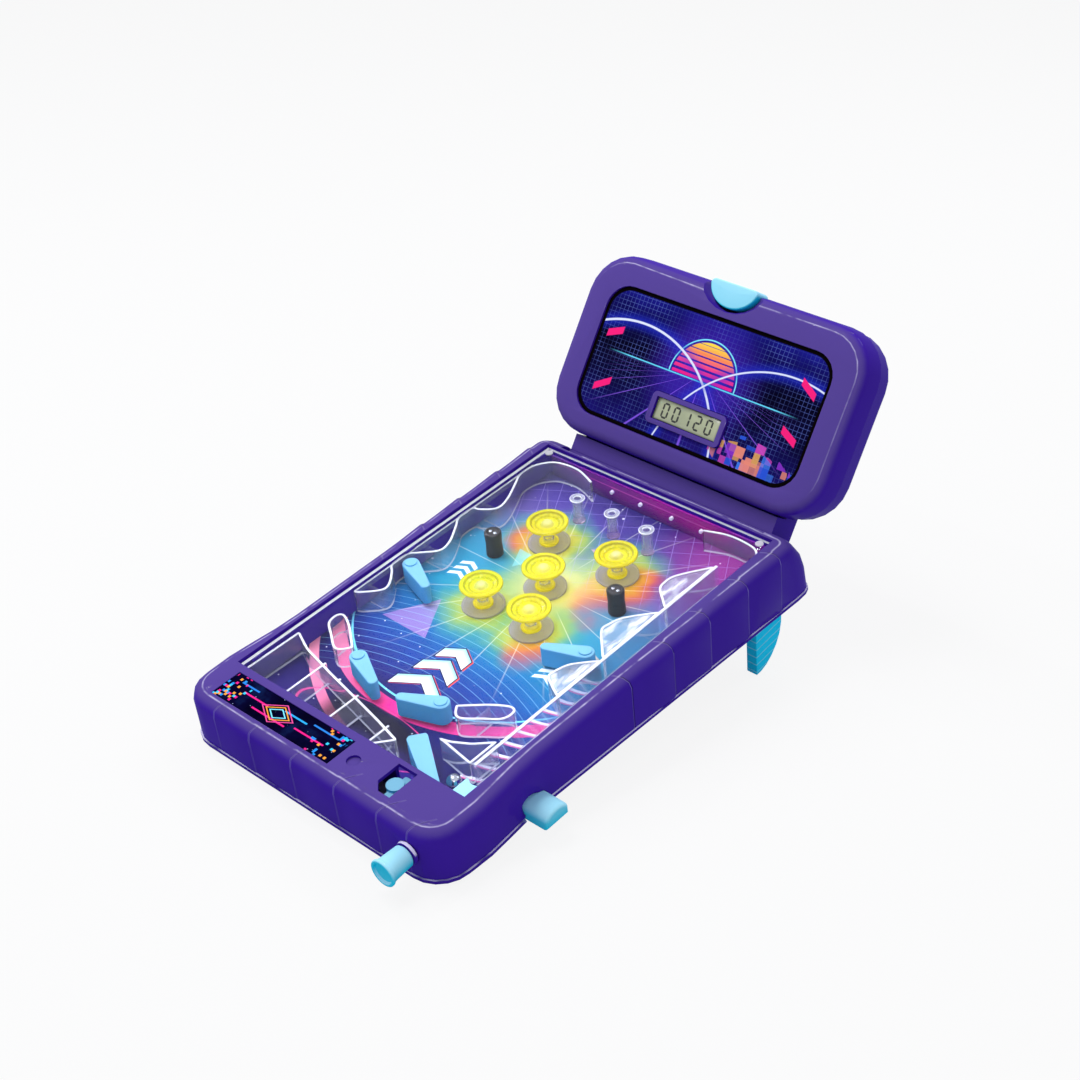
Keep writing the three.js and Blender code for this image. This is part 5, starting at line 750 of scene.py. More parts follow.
def playfield_print(name):
    """Printed playfield: bands of colour from front to back, a warm glow round the bumpers, a fine
    grid, arcs, arrow stripes, dashes in the ball lane and a scatter of stars."""
    make = Maker(name)
    x, y = make.x, make.y
    drift = make.noise(0.018, 2.0) - 0.5
    level = (y + x * 0.16 + drift * 34 + 149) / 298
    make.put("Base Color", make.ramp(level, [
        (0.0, "2A1B6E"), (0.10, "1B1257"), (0.21, "1A1C70"), (0.29, "133E92"), (0.38, "0E68A6"),
        (0.50, "148EAE"), (0.66, "3A92B4"), (0.78, "66589E"), (0.88, "4C3C92"), (1.0, "2A1C6A")]))
    make.lay("A03290", make.away(100, 140).rise(96, 26) * 0.8)
    # warm glow: the nearest bumper's distance, disturbed, runs through yellow, orange and red
    near = make.away(*BUMPERS[0])
    for place in BUMPERS[1:]:
        near = near.math("SMOOTH_MIN", make.away(*place), 26.0)
    cloud = make.noise(0.022, 3.0, 0.6)
    heat = near + (cloud - 0.5) * 34
    glow = make.ramp(heat / 60, [
        (0.0, "D8CC5A"), (0.16, "D2B42E"), (0.28, "D6962A"), (0.40, "D66A22"), (0.52, "CE421E"),
        (0.66, "B06A48"), (0.8, "70A0A4")])
    cool = make.ramp(heat / 60, [
        (0.0, "D8D070"), (0.22, "C4C44A"), (0.38, "92B65A"), (0.55, "4FAA90"), (0.75, "2F9AB0")])
    red = make.away(44, 66).least(make.away(-58, 80) + 22)
    red = red.least(make.away(28, -14) + 20)
    far_from_red = (red + (make.noise(0.03, 2.0) - 0.5) * 26).rise(30, 44)
    warm = make.blend(glow, cool, far_from_red)
    make.lay(warm, heat.rise(44, 18) * 0.94)
    make.lay("FFFBD0", make.away(PRINT_AXIS, 52).rise(46, 4) * 0.35)
    # pale facets: large see-through triangles round the glow
    for px, py, lean, size, tone in (
            (-62, -30, 0.5, 24, "B88AD0"), (-2, 96, 2.2, 13, "F0B8D8"), (58, 6, 1.2, 11, "F6D2B0"),
            (-46, 60, 3.6, 12, "8FE0E8")):
        facet = None
        for corner in range(3):
            bearing = lean + corner * 2 * math.pi / 3
            edge = (x - px) * math.cos(bearing) + (y - py) * math.sin(bearing)
            facet = facet.most(edge) if facet else edge
        make.lay(tone, facet.rise(size * 0.5, size * 0.5 - 0.3) * 0.55)
    # rays out of the middle bumper, thin and pale
    angle = (y - 44).math("ARCTAN2", x - PRINT_AXIS)
    reach = make.away(PRINT_AXIS, 44)
    ray = (angle * 11).comb(math.pi, 0.055, 0.05) * reach.rise(20, 40) * reach.rise(130, 50)
    make.lay("FFFBE6", ray * 0.45)
    # square grid on the back half, turned by a third of a right angle
    turn = math.radians(30)
    across, along = x * math.cos(turn) + y * math.sin(turn), y * math.cos(turn) - x * math.sin(turn)
    grid = across.comb(13, 0.16).most(along.comb(13, 0.16)) * y.rise(38, 92)
    make.lay("B7A6F2", grid * 0.55)
    # fine arcs in the middle, about a point far in front
    bow = make.away(PRINT_AXIS, -235)
    arcs = bow.comb(6.5, 0.16) * bow.rise(150, 165) * bow.rise(262, 225)
    make.lay("9BDCF5", arcs * 0.55)
    # broad pink arc with a thin pale one inside it, across the front
    ring = make.away(PRINT_AXIS, 18)
    front = y.rise(-38, -62)
    pink = make.ramp((x + 100) / 190, [(0.0, "FF8AA8"), (0.45, "F0258A"), (1.0, "E84A9A")])
    make.lay(pink, ring.stripe(121, 5.2, 0.3) * front)
    make.lay("7FE3F7", ring.stripe(112, 0.7, 0.2) * front)
    trail = make.away(20, 20).stripe(161, 3.4, 0.3) * front * x.rise(24, 4)
    make.lay(make.ramp((x + 95) / 120, [(0.0, "FF9AB4"), (1.0, "E8308C")]), trail)
    # dark oval where the balls run out
    oval = make.away(PRINT_AXIS, -128, (58, 21))
    make.lay("07041A", oval.rise(1.15, 0.75) * x.rise(-58, -40) * 0.85)
    make.lay("E9408F", (oval * 30).stripe(30, 0.5, 0.3))
    # three arrow stripes that point to the bumpers, each with a dark and a coral edge
    for middle, half in ((-71.0, 19.0), (-53.5, 15.5), (-39.0, 12.0)):
        for shift, grow, tone in ((1.6, 0.4, "F2503C"), (0.0, 1.0, "141243"), (0.0, 0.0, None)):
            out = (x - PRINT_AXIS - shift).size()
            height = y - middle + out * 0.62
            band = height.stripe(0, 4.7 + grow, 0.1) * out.rise(half + grow, half + grow - 0.3)
            if tone is None:
                tone = make.ramp((height + 5) / 10, [(0.0, "FFFFFF"), (0.6, "DDF4FC"), (1.0, "8CD6F2")])
            make.lay(tone, band)
    # small arrow stripes beside the upper flippers
    for side_x, first in ((-72.0, 22.0), (48.0, -24.0)):
        out = (x - side_x).size()
        for step in range(3):
            height = y - first - step * 6.5 + out * 0.5
            shape = height.stripe(0, 2.4, 0.1) * out.rise(8.0, 7.7)
            inner = height.stripe(0, 1.7, 0.1) * out.rise(7.3, 7.0)
            make.lay("2C9CC8", shape)
            make.lay("F4FCFF", inner)
    # short slanted dashes along the ball lane
    slant = y - x * 0.35
    lane = (x + (make.noise(0.11, 0.0) - 0.5) * 12).rise(67, 67.4) * y.rise(-8, -10)
    make.lay("E86AA8", (slant + 1.5).comb(12, 0.9) * lane)
    make.lay("FFFFFF", slant.comb(12, 1.1) * lane)
    # stars: small round dots, fewer and larger ones, kept to the cool areas
    cool_area = heat.rise(38, 62)
    for scale, size, share in ((0.16, 0.11, 0.62), (0.055, 0.07, 0.5)):
        gap, chance = make.cells(scale)
        dots = gap.rise(size, size * 0.4) * chance.rise(share, share + 0.05)
        make.lay("FFFFFF", dots * cool_area)
    make.lay("3A2294", (y + (x - 20).size() * 0.1).rise(-122, -140) * 0.5)
    make.lay("3A2294", y.rise(-150.2, -150.6))
    make.put("Roughness", make.noise(0.7, 4.0, 0.65) * 0.10 + 0.24)
    make.put("Specular IOR Level", 0.15)
    make.bump(make.noise(1.6, 3.0), 0.00002, 0.4)
    return make


def panel_print(name):
    """Printed score panel: near-black with a woven grid, pale bows, pink bars, a striped half disc
    over a horizon and coloured squares, inside a plain black border."""
    make = Maker(name, HEAD)
    x, y = make.x, make.y
    make.put("Base Color", make.ramp((y + 48 + (make.noise(0.03, 2.0) - 0.5) * 30) / 96, [
        (0.0, "1A1468"), (0.35, "0C0A34"), (0.62, "07061E"), (0.85, "12105A"), (1.0, "1C1C86")]))
    weave = x.comb(3.4, 0.14).most(y.comb(3.4, 0.14))
    make.lay("5566B8", weave * (make.noise(0.04, 2.0).rise(0.35, 0.7) * 0.75 + 0.12))
    # glow behind the half disc, then the disc itself with slots that widen downwards
    sun = make.away(0, 3)
    make.lay("4A2CC8", sun.rise(56, 18) * 0.55)
    disc = sun.rise(26.2, 25.8) * y.rise(1.6, 2.0)
    slots = (y.math("MODULO", 4.4) - (y * -0.075 + 2.4)).rise(-0.1, 0.1)
    tone = make.ramp((y - 2) / 26, [
        (0.0, "E61E8C"), (0.35, "F2408A"), (0.7, "F98A5A"), (1.0, "FFD84A")])
    make.lay(tone, disc * slots)
    edge = sun.stripe(28.0, 0.45, 0.2) * y.rise(1.6, 2.0)
    make.lay("7FE6FF", edge)
    # horizon and spreading lines below it
    below = y.rise(2.0, 1.6)
    make.lay("62D6F7", y.stripe(1.2, 0.45, 0.15) * x.size().rise(84, 60))
    fan = (x / (y * -1 + 8).most(1.0)).comb(0.9, 0.018, 0.012) * below
    make.lay("8A5CF0", fan * x.size().rise(90, 50) * 0.8)
    # pale bows at both sides
    for bow_x, bow_y, radius, half in ((-60.0, -62.0, 88.0, 0.8), (70.0, -70.0, 96.0, 0.6)):
        bow = make.away(bow_x, bow_y)
        make.lay("2430C8", bow.stripe(radius, 4.5, 4.0) * 0.5)
        make.lay("DDE4FF", bow.stripe(radius, half, 0.3))
    # pink slanting bars near the ends
    for bar_x, bar_y, tilt in ((-82.0, 14.0, 0.4), (-78.0, -24.0, 0.6), (82.0, 22.0, -0.6),
                               (80.0, -12.0, -0.5)):
        lean = y - bar_y - (x - bar_x) * tilt
        make.lay("F7247C", lean.stripe(0, 2.7, 0.2) * x.stripe(bar_x, 6.5, 0.3))
    # coloured squares that gather low at the right
    for size, seed in ((5.0, 1.0), (7.5, 4.0)):
        chance, tint, dim = make.squares(size, seed)
        gather = make.away(52, -38, (44, 17)).rise(1.1, 0.3) * 0.5
        spot = chance.math("LESS_THAN", gather * 0.9)
        shade = make.ramp(tint, [
            (0.0, "2C56D8"), (0.3, "8A35C8"), (0.5, "D24BC0"), (0.68, "E88A78"), (0.84, "3C78E8"),
            (0.93, "F2B25A")], "CONSTANT")
        make.lay(shade, spot * (dim * 0.5 + 0.45))
    # plain black border that follows the panel's rounded rectangle
    corner_x, corner_y = (x.size() - 77.6).most(0.0), (y.size() - 28.8).most(0.0)
    border = (corner_x * corner_x + corner_y * corner_y).math("SQRT").rise(16.2, 16.5)
    make.lay("0B0709", border)
    make.put("Roughness", make.noise(0.9, 4.0, 0.6) * 0.08 + 0.24)
    make.put("Specular IOR Level", 0.0)
    make.bump(make.noise(0.05, 2.0), 0.0001, 0.25)
    return make


def label_print(name):
    """Printed front label: night blue with fine stars, stepped bars, a nest of three diamonds, and
    small squares near both ends."""
    make = Maker(name)
    x, y = make.x, make.y + 166.5
    make.put("Base Color", make.ramp(make.noise(0.05, 3.0, 0.6), [
        (0.3, "030210"), (0.55, "07062A"), (0.75, "102250")]))
    gap, chance = make.cells(0.28)
    make.lay("BFD0FF", gap.rise(0.12, 0.04) * chance.rise(0.55, 0.6))
    for start, end, place, tone in (
            (-82, -66, 6.5, "2C7FE0"), (-74, -52, 1.0, "F0268A"), (-60, -30, -5.5, "F0268A"),
            (-40, -20, 4.5, "2FA9F2"), (-24, 2, -2.5, "F0268A"), (-16, 6, 6.8, "2C7FE0")):
        bar = x.stripe((start + end) / 2, (end - start) / 2, 0.1) * y.stripe(place, 0.65, 0.1)
        make.lay(tone, bar)
    middle = (x + 42).size() + y.size() * 1.6
    for tone, place in (("E8509C", 14), ("F6A23C", 10.5), ("7FE6FF", 7)):
        make.lay(tone, middle.stripe(place, 0.7, 0.2))
    chance, tint = make.squares(1.9, 2.0)[:2]
    gather = (x + 84).size().rise(16, 3).most((x - 6).size().rise(18, 4))
    spot = chance.math("LESS_THAN", gather * 0.2)
    shade = make.ramp(tint, [
        (0.0, "2C8FE8"), (0.35, "F0268A"), (0.6, "F6A23C"), (0.8, "3BC6F2")], "CONSTANT")
    make.lay(shade, spot)
    make.put("Roughness", make.noise(0.9, 4.0, 0.6) * 0.10 + 0.3)
    make.put("Specular IOR Level", 0.0)
    make.bump(make.noise(1.2, 3.0), 0.00003, 0.3)
    return make


def band_print(name):
    """Printed band behind the playfield: purple to magenta, with soft clouds and a thin bright line."""
    make = Maker(name)
    make.put("Base Color", make.ramp(make.x / 200 + 0.5 + (make.noise(0.05, 3.0) - 0.5) * 0.5, [
        (0.0, "5A2A92"), (0.4, "8A1F8C"), (0.7, "A8178A"), (1.0, "6A2496")]))
    make.lay("E04AB8", (make.z + 10).stripe(0, 0.4, 0.4) * 0.6)
    make.lay("3A1C70", make.z.rise(-12, -21) * 0.7)
    make.lay("F6ECFF", make.y.rise(146.75, 146.45))
    make.put("Roughness", make.noise(0.8, 3.0) * 0.06 + 0.22)
    make.bump(make.noise(0.3, 2.0), 0.00002, 0.2)
    return make


def display_glass(name):
    """Display: grey-green behind glass, with the ghost of a dot grid and a darker rim."""
    make = Maker(name, HEAD)
    make.put("Base Color", make.ramp(make.noise(0.05, 2.0), [(0.3, "98A080"), (0.7, "AEB592")]))
    grid = make.x.comb(0.9, 0.06).most(make.y.comb(0.9, 0.06))
    make.lay("8A9274", grid * 0.35)
    rim = (make.x.size() - 27.7).rise(-2.6, 0.0).most(((make.y + 26).size() - 7.7).rise(-1.5, 0))
    make.lay("4A5040", rim * 0.75)
    make.put("Roughness", make.noise(0.8, 3.0) * 0.06 + 0.14)
    make.put("Coat Weight", 0.8)
    make.bump(make.noise(0.4, 2.0), 0.00002, 0.3)
    return make


def board_print(name):
    """Circuit board: green lacquer over copper tracks, with round pads."""
    make = Maker(name, HEAD)
    track = make.x.comb(5.0, 0.5).most(make.y.comb(7.0, 0.5))
    track = track * make.noise(0.08, 1.0).rise(0.45, 0.5)
    gap, chance = make.cells(0.16)
    pad = gap.rise(0.2, 0.15) * chance.rise(0.4, 0.45)
    make.put("Base Color", make.blend("14512B", "2E8A4C", track))
    make.lay("D8C690", pad)
    make.put("Roughness", make.noise(0.9, 3.0) * 0.15 + 0.3)
    make.put("Coat Weight", 0.4)
    make.bump(track + pad, 0.0001, 0.5)
    return make


def paper_cone(name, colour):
    """Speaker: black pressed paper with fibres."""
    make = Maker(name)
    fibre = make.noise(1.4, 5.0, 0.7)
    make.put("Base Color", make.blend(shaded(colour, 0.7), shaded(colour, 1.8), fibre * 0.6))
    make.put("Roughness", fibre * 0.25 + 0.5)
    make.bump(fibre, 0.0001, 0.6)
    return make


# Sizes and colours to change

def length(name, metres, text):
    return FloatProperty(name=name, description=text, default=metres, min=0.0, unit="LENGTH", precision=5)


def colour(name, code, text):
    return FloatVectorProperty(
        name=name, description=text, default=hue(code)[:3], size=3, min=0.0, max=1.0, subtype="COLOR")


class PinballSizes(bpy.types.PropertyGroup):
    """Lengths of the small pieces, in metres."""
    bumper_radius: length("Bumper radius", 0.015, "Radius of a bumper's cap and base")
    spring_radius: length("Bumper spring radius", 0.0033, "From a bumper spring's middle to its wire")
    spring_wire: length("Bumper spring wire", 0.0009, "Thickness of a bumper spring's wire")
    pull_spring_radius: length("Plunger spring radius", 0.0042, "From the plunger spring's axis to its wire")
    pull_spring_wire: length("Plunger spring wire", 0.001, "Thickness of the plunger spring's wire")
    ball_radius: length("Ball radius", 0.00476, "Radius of the steel ball")
    post_radius: length("Clear post radius", 0.004, "Radius of a clear post's stem")
    rubber_radius: length("Rubber post radius", 0.006, "Radius of a rubber post")
    rail_wall: length("Rail wall", 0.0016, "Thickness of the clear rails on the playfield")
    digit_height: length("Digit height", 0.0112, "Height of a digit on the display")
    edge_round: length("Edge round", 0.00045, "Round on the edges of the mouldings")


class PinballColours(bpy.types.PropertyGroup):
    """Colours of the mouldings."""
    case: colour("Case", "3A1C9A", "Glossy plastic of the case and the head")
    control: colour("Controls", "A2E0F6", "Plastic of the buttons, lever and plunger")
    flipper: colour("Flippers", "7CB8D6", "Plastic of the flippers")
    leg: colour("Legs", "16D0FF", "Plastic of the fold-out legs")
    bumper: colour("Bumpers", "FFF514", "See-through plastic of the bumper caps")
    smoke: colour("Bumper bases", "C9C6CC", "See-through plastic of the bumper bases")
    clear: colour("Clear pieces", "F4F6FC", "See-through plastic of the cover, rails and posts")
    steel: colour("Steel", "D6D8DC", "Steel of the ball, springs, rod and screws")
    rubber: colour("Rubber", "262325", "Rubber of the posts and feet")
    floor: colour("Floor", "CFCFD2", "Studio floor")


# Maker, name of the material, colour to change or three numbers, and the maker's other settings
FINISH_TABLE = {
    "case": (case_plastic, "case_plastic", "case"),
    "base": (base_plastic, "base_plastic", "case"),
    "head": (head_plastic, "head_plastic", "case"),
    # for the controls and flippers the last colour is painted shade, for the faces that don't look up
    "control": (control_plastic, "control_plastic", "control", "1CC2E4"),
    "flipper": (control_plastic, "flipper_plastic", "flipper", "45A6DA"),
    "leg": (leg_plastic, "leg_plastic", "leg"),
    "rail": (clear_plastic, "rail_plastic", "clear", 0.0, 0.06, 1.07, RAIL_TOP),
    "lid": (lid_plastic, "lid_plastic", "clear"),
    "sling": (clear_plastic, "sling_plastic", "clear", 0.0, 0.06, 1.07, SLING_TOP),
    "post": (post_plastic, "post_plastic", "clear"),
    "cover": (cover_plastic, "cover_plastic", "clear"),
    "bumper": (bumper_plastic, "bumper_plastic", "bumper"),
    "smoke": (clear_plastic, "smoke_plastic", "smoke", 0.1, 0.38, 1.1),
    "steel": (brushed_steel, "steel", "steel"),
    "ball": (brushed_steel, "ball_steel", "steel", 0.02),
    "rubber": (soft_rubber, "rubber", "rubber"),
    "dark": (paper_cone, "speaker_paper", "rubber"),
    "switch": (moulded_plastic, "switch_plastic", "rubber", 0.35),
    "ink": (soft_rubber, "display_ink", (0.012, 0.014, 0.012)),
    "playfield": (playfield_print, "playfield_print"),
    "panel": (panel_print, "panel_print"),
    "label": (label_print, "label_print"),
    "band": (band_print, "band_print"),
    "display": (display_glass, "display_glass"),
    "board": (board_print, "board_lacquer"),
}
FINISHES = {}


def finish(key):
    """A finish by its plain name, made on first use from the colours that the user may change."""
    if key not in FINISHES:
        maker, name, *settings = FINISH_TABLE[key]
        if settings and isinstance(settings[0], str):
            settings[0] = tuple(getattr(bpy.context.scene.pinball_colours, settings[0]))
        FINISHES[key] = maker(name, *settings).material
    return FINISHES[key]


def mm(name):
    """One of the sizes, in millimetres."""
    return getattr(bpy.context.scene.pinball_sizes, name) * 1000


# Operators

class CaseMouldings(bpy.types.Operator):
    """Case halves, feet, door and the small pieces set in them, with rounded edges."""
    bl_idname = "pinball.case_mouldings"
    bl_label = "Case mouldings"

    def execute(self, context):
        refined("upper_shell", "case", angle=42)
        refined("lower_shell", "base", angle=42)
        for node, look, part in (
                ("battery_door", "base", 1), ("plunger_bushing", "base", 2), ("front_label", "label", 3),
                ("left_front_foot", "rubber", 1), ("right_front_foot", "rubber", 1),
                ("speaker", "dark", 1), ("battery_door_screw", "steel", 3)):
            refined(node, look, part=part)
        refined("power_switch", "switch", "power_switch", 2)
        return {"FINISHED"}


class HeadMouldings(bpy.types.Operator):
    """Score head: its shells, printed panel, display, board and push tab."""
    bl_idname = "pinball.head_mouldings"
    bl_label = "Head mouldings"

    def execute(self, context):
        for node in ("head_front_shell", "head_rear_shell"):
            refined(node, "head", angle=42)
        for node, look in (
                ("backglass_panel", "panel"), ("score_display", "display"), ("circuit_board", "board")):
            refined(node, look, part=3)
        # push tab: lower half of an ellipse with its two upper corners rounded
        a = np.linspace(0.2 - np.pi, -0.2, 33)
        b = np.linspace(0, np.pi / 2, 7)[1:]
        corner = np.stack([16.1 + 3.5 * np.cos(b), 68.9 + 3.5 * np.sin(b)], -1)
        outline = np.concatenate([
            np.stack([20 * np.cos(a), 72.4 + 17.5 * np.sin(a)], -1), corner, corner[::-1] * [-1, 1]])
        make_piece("push_tab", [outlined(even(outline, 0.8, True), slab(-14, 1.4, 1.3))],
                   "control", "head_button", "head_button", HEAD)
        return {"FINISHED"}


class DisplayDigits(bpy.types.Operator):
    """Five digits on the display, each made of the bars of a seven-bar digit that are lit."""
    bl_idname = "pinball.display_digits"
    bl_label = "Display digits"

    def execute(self, context):
        height = mm("digit_height")
        width, bar = height * 0.52, height * 0.125
        lit = {"0": "abcdef", "1": "bc", "2": "abged"}
        across = {"a": (0, 1), "g": (0, 0), "d": (0, -1)}
        upright = {"f": (-1, 1), "b": (1, 1), "e": (-1, -1), "c": (1, -1)}
        patches = []
        for place, digit in enumerate("00120"):
            middle = np.array([(place - 2) * width * 1.62, -26.0])
            for name in lit[digit]:
                # a bar is a long hexagon between two corners of the digit
                if name in across:
                    centre = middle + [0, across[name][1] * (height - bar) / 2]
                    reach, thick = np.array([width / 2 - bar * 0.6, 0]), np.array([0, bar / 2])
                else:
                    side, level = upright[name]
                    centre = middle + [side * (width - bar) / 2, level * (height - bar) / 4]
                    reach, thick = np.array([0, (height - bar) / 4 - bar * 0.1]), np.array([bar / 2, 0])
                nip = 1 - bar * 0.5 / np.abs(reach).sum()
                outline = centre + np.stack([
                    -reach, -reach * nip - thick, reach * nip - thick, reach, reach * nip + thick,
                    -reach * nip + thick])
                patches.append(outlined(outline, [[np.nan, 0.005], [0, 0.005], [0, 0.07], [np.nan, 0.07]]))
        make_piece("display_digits", patches, "ink", where=HEAD)
        return {"FINISHED"}


class Playfield(bpy.types.Operator):
    """Printed deck, back band and clear cover."""
    bl_idname = "pinball.playfield"
    bl_label = "Playfield and cover"

    def execute(self, context):
        for node, look, part in (
                ("playfield_deck", "playfield", 3), ("back_wall_band", "band", 2),
                ("clear_cover", "cover", 1)):
            refined(node, look, part=part)
        return {"FINISHED"}


class ClearRails(bpy.types.Operator):
    """Clear walls on the playfield: side rail, corner arch, lane divider, aprons and slingshots."""
    bl_idname = "pinball.clear_rails"
    bl_label = "Clear rails"

    def execute(self, context):
        thick = mm("rail_wall")
        shares = np.array([
            [0.03, -0.33], [0.12, -0.315], [0.31, -0.25], [0.3, -0.2], [0.14, -0.13], [0.03, -0.09],
            [0.03, 0.005], [0.14, 0.045], [0.34, 0.115], [0.31, 0.19], [0.14, 0.29], [0.03, 0.35],
            [0.03, 0.44], [0.14, 0.455], [0.32, 0.51], [0.29, 0.59], [0.14, 0.7], [0.03, 0.78],
            [0.05, 0.87], [0.2, 0.94], [0.4, 0.965], [0.68, 0.965], [1, 0.925]])
        path = even(spline(shares * [50, HALF_LENGTH] - [HALF_WIDTH, 0], 12), 1.6)
        outer = 1.5 - HALF_WIDTH
        edge = even([[outer, -0.33 * HALF_LENGTH], [outer, 0.87 * HALF_LENGTH]], 6)
        patches = [wall(path, thick, RAIL_BOTTOM, RAIL_TOP), wall(edge, thick * 0.75, -9.0, RAIL_TOP)]
        for y, reach in ((-37.0, 15.4), (17.0, 16.8), (76.0, 15.8)):
            rib = even([[outer, y], [reach - HALF_WIDTH, y]], 3)
            patches.append(wall(rib, thick * 0.5, RAIL_BOTTOM, RAIL_TOP - 1.4))
        make_piece("left_rail", patches, "rail", "left_side_rail")
        shares = np.array([
            [0.5, 0.93], [0.66, 0.965], [0.82, 0.965], [0.92, 0.945], [0.975, 0.885], [0.985, 0.8]])
        path = even(spline(shares * [HALF_WIDTH, HALF_LENGTH], 12), 1.6)
        arch = wall(path, thick, RAIL_BOTTOM, RAIL_TOP)
        make_piece("corner_arch", [arch], "rail", "right_corner_arch")
        self.divider(thick)
        self.aprons(thick)
        self.slingshots(thick)
        return {"FINISHED"}

    def divider(self, thick):
        """Straight wall with three hollow blocks whose faces bow out to the left."""
        middle = DIVIDER_FACE + DIVIDER_WALL / 2
        line = even([[middle, -0.815 * HALF_LENGTH], [middle, 0.755 * HALF_LENGTH]], 6)
        patches, lids = [wall(line, DIVIDER_WALL, RAIL_BOTTOM, RAIL_TOP)], []
        for shares in (
                [[0.05, -0.315], [0.5, -0.28], [0.85, -0.245], [0.825, -0.19], [0.625, -0.125],
                 [0.05, -0.045]],
                [[0.05, -0.02], [0.4, 0.03], [0.95, 0.115], [0.95, 0.17], [0.75, 0.24], [0.05, 0.35]],
                [[0.05, 0.395], [0.3, 0.425], [0.75, 0.48], [0.85, 0.53], [0.75, 0.6], [0.05, 0.74]]):
            face = spline(np.array(shares) * [-20, HALF_LENGTH] + [DIVIDER_FACE, 0], 10)
            back = [[middle, face[-1, 1]], [middle, face[0, 1]]]
            outline = even(np.concatenate([face, back])[::-1], 1.5, True)
            patches.append(ring_wall(outline, thick, RAIL_BOTTOM, RAIL_TOP))
            lids.append(outlined(outline, [
                [np.nan, RAIL_TOP - 1.6], [thick, RAIL_TOP - 1.6], [thick, RAIL_TOP - 0.7],
                [thick + 0.4, RAIL_TOP - 0.4], [np.nan, RAIL_TOP - 0.3]]))
        make_piece("lane_wall", patches, "rail", "lane_divider")
        make_piece("lane_lids", lids, "lid")

    def aprons(self, thick):
        """Walls round the closed outlines in front, with three cross ribs in the left one."""
        left = np.array([
            [-0.985, -0.985], [-0.975, -0.67], [-0.8, -0.725], [-0.5, -0.775], [-0.22, -0.817],
            [0.06, -0.86], [0.29, -0.9], [0.18, -0.985]]) * [HALF_WIDTH, HALF_LENGTH]
        outline = even(rounded(left, 2.5, 5, True), 1.5, True)[::-1]
        patches = [ring_wall(outline, thick, RAIL_BOTTOM, RAIL_TOP)]
        for x, y in ((-60, -111.6), (-20.5, -120.5), (15, -128.7)):
            line = even([[x, -145.5], [x, y + 0.6]], 3)
            patches.append(wall(line, thick, RAIL_BOTTOM, RAIL_TOP - 0.2))
        make_piece("left_apron_wall", patches, "rail", "left_apron")
        right = np.array([
            [0.5875, -0.79], [0.98125, -0.825], [0.98125, -0.66], [0.8375, -0.73],
            [0.7, -0.77]]) * [DIVIDER_FACE, HALF_LENGTH]
        outline = even(rounded(right, 2.0, 5, True), 1.2, True)
        patches = [ring_wall(outline, thick, RAIL_BOTTOM, RAIL_TOP)]
        make_piece("right_apron_wall", patches, "rail", "right_apron")

    def slingshots(self, thick):
        """Curved closed walls above the lower flippers, each with one cross rib."""
        shares = np.array([
            [0.36, -0.6], [0.45, -0.55], [0.54, -0.505], [0.63, -0.475], [0.665, -0.49],
            [0.65, -0.54], [0.56, -0.585], [0.43, -0.64], [0.36, -0.6]])
        for side, hand in ((-1, "left"), (1, "right")):
            points = (shares + [0.12, 0]) * [side, 1] - [0.12, 0]
            outline = even(spline(points * [HALF_WIDTH, HALF_LENGTH], 10)[:-1], 1.0, True)[::side]
            xs = outline[:, 0]
            middle = (xs.min() + xs.max()) / 2
            near = np.sort(outline[np.argsort(np.abs(xs - middle))[:4], 1])
            rib = even([[middle, near[0] + 0.6], [middle, near[-1] - 0.6]], 2)
            patches = [ring_wall(outline, thick, RAIL_BOTTOM, SLING_TOP),
                       wall(rib, thick, RAIL_BOTTOM, SLING_TOP - thick)]
            make_piece(hand + "_slingshot_wall", patches, "sling", hand + "_slingshot")


class Flippers(bpy.types.Operator):
    """Four flippers: blade, round cap, shaft, crank and crank pin."""
    bl_idname = "pinball.flippers"
    bl_label = "Flippers"

    def execute(self, context):
        root, tip, reach = 6.0, 3.4, 30.0
        blade_top, shaft_low, crank_top, pin_low = -5.5, -27.6, -25.4, -30.7
        for name, x, y, side in (
                ("lower_left", -49.0, -93.0, 1), ("lower_right", 25.0, -93.0, -1),
                ("upper_left", -90.3, -4.0176, 1), ("upper_right", 66.3, -4.0176, -1)):
            # outline: two arcs of unlike radius and their shared tangents
            lean = math.acos((root - tip) / (reach - tip))
            a, b = np.linspace(-lean, lean, 16), np.linspace(lean, 2 * math.pi - lean, 24)
            end = np.stack([reach - tip + tip * np.cos(a), tip * np.sin(a)], -1)
            start = np.stack([root * np.cos(b), root * np.sin(b)], -1)
            blade = even(np.concatenate([end, start]), 0.9, True) * [side, 1]
            blade = blade[::side]
            cap = [[0, -6.2], [4.25, -6.2], [4.25, -4.5], [0, -4.5]]
            shaft = [[0, shaft_low], [3, shaft_low], [3, -6.5], [0, -6.5]]
            crank = rounded([[-2.5, -9.5], [2.5, -9.5], [2.5, 2.5], [-2.5, 2.5]], 2.0, 5, True)
            pin = [[0, pin_low], [1.5, pin_low], [1.5, -27.1], [0, -27.1]]
            foot = [[np.nan, -20], [0.3, -20], [0, -19.7]]
            profile = np.concatenate([foot, slab(-19, blade_top, 0.9)[2:]])
            patches = [
                outlined(blade, profile), turned(rounded(cap, 0.4, 4)), turned(shaft, segments=32),
                outlined(crank, slab(shaft_low, crank_top, 0.2)), turned(pin, (0, -7), 24)]
            turn = -side * FLIPPER_DROOP
            spin = np.array([[math.cos(turn), -math.sin(turn)], [math.sin(turn), math.cos(turn)]])
            for grid, _ in patches:
                grid[..., :2] = grid[..., :2] @ spin.T + [x, y]
            node = name + "_flipper"
            make_piece(name + "_blade", patches, "flipper", node, node)
        return {"FINISHED"}


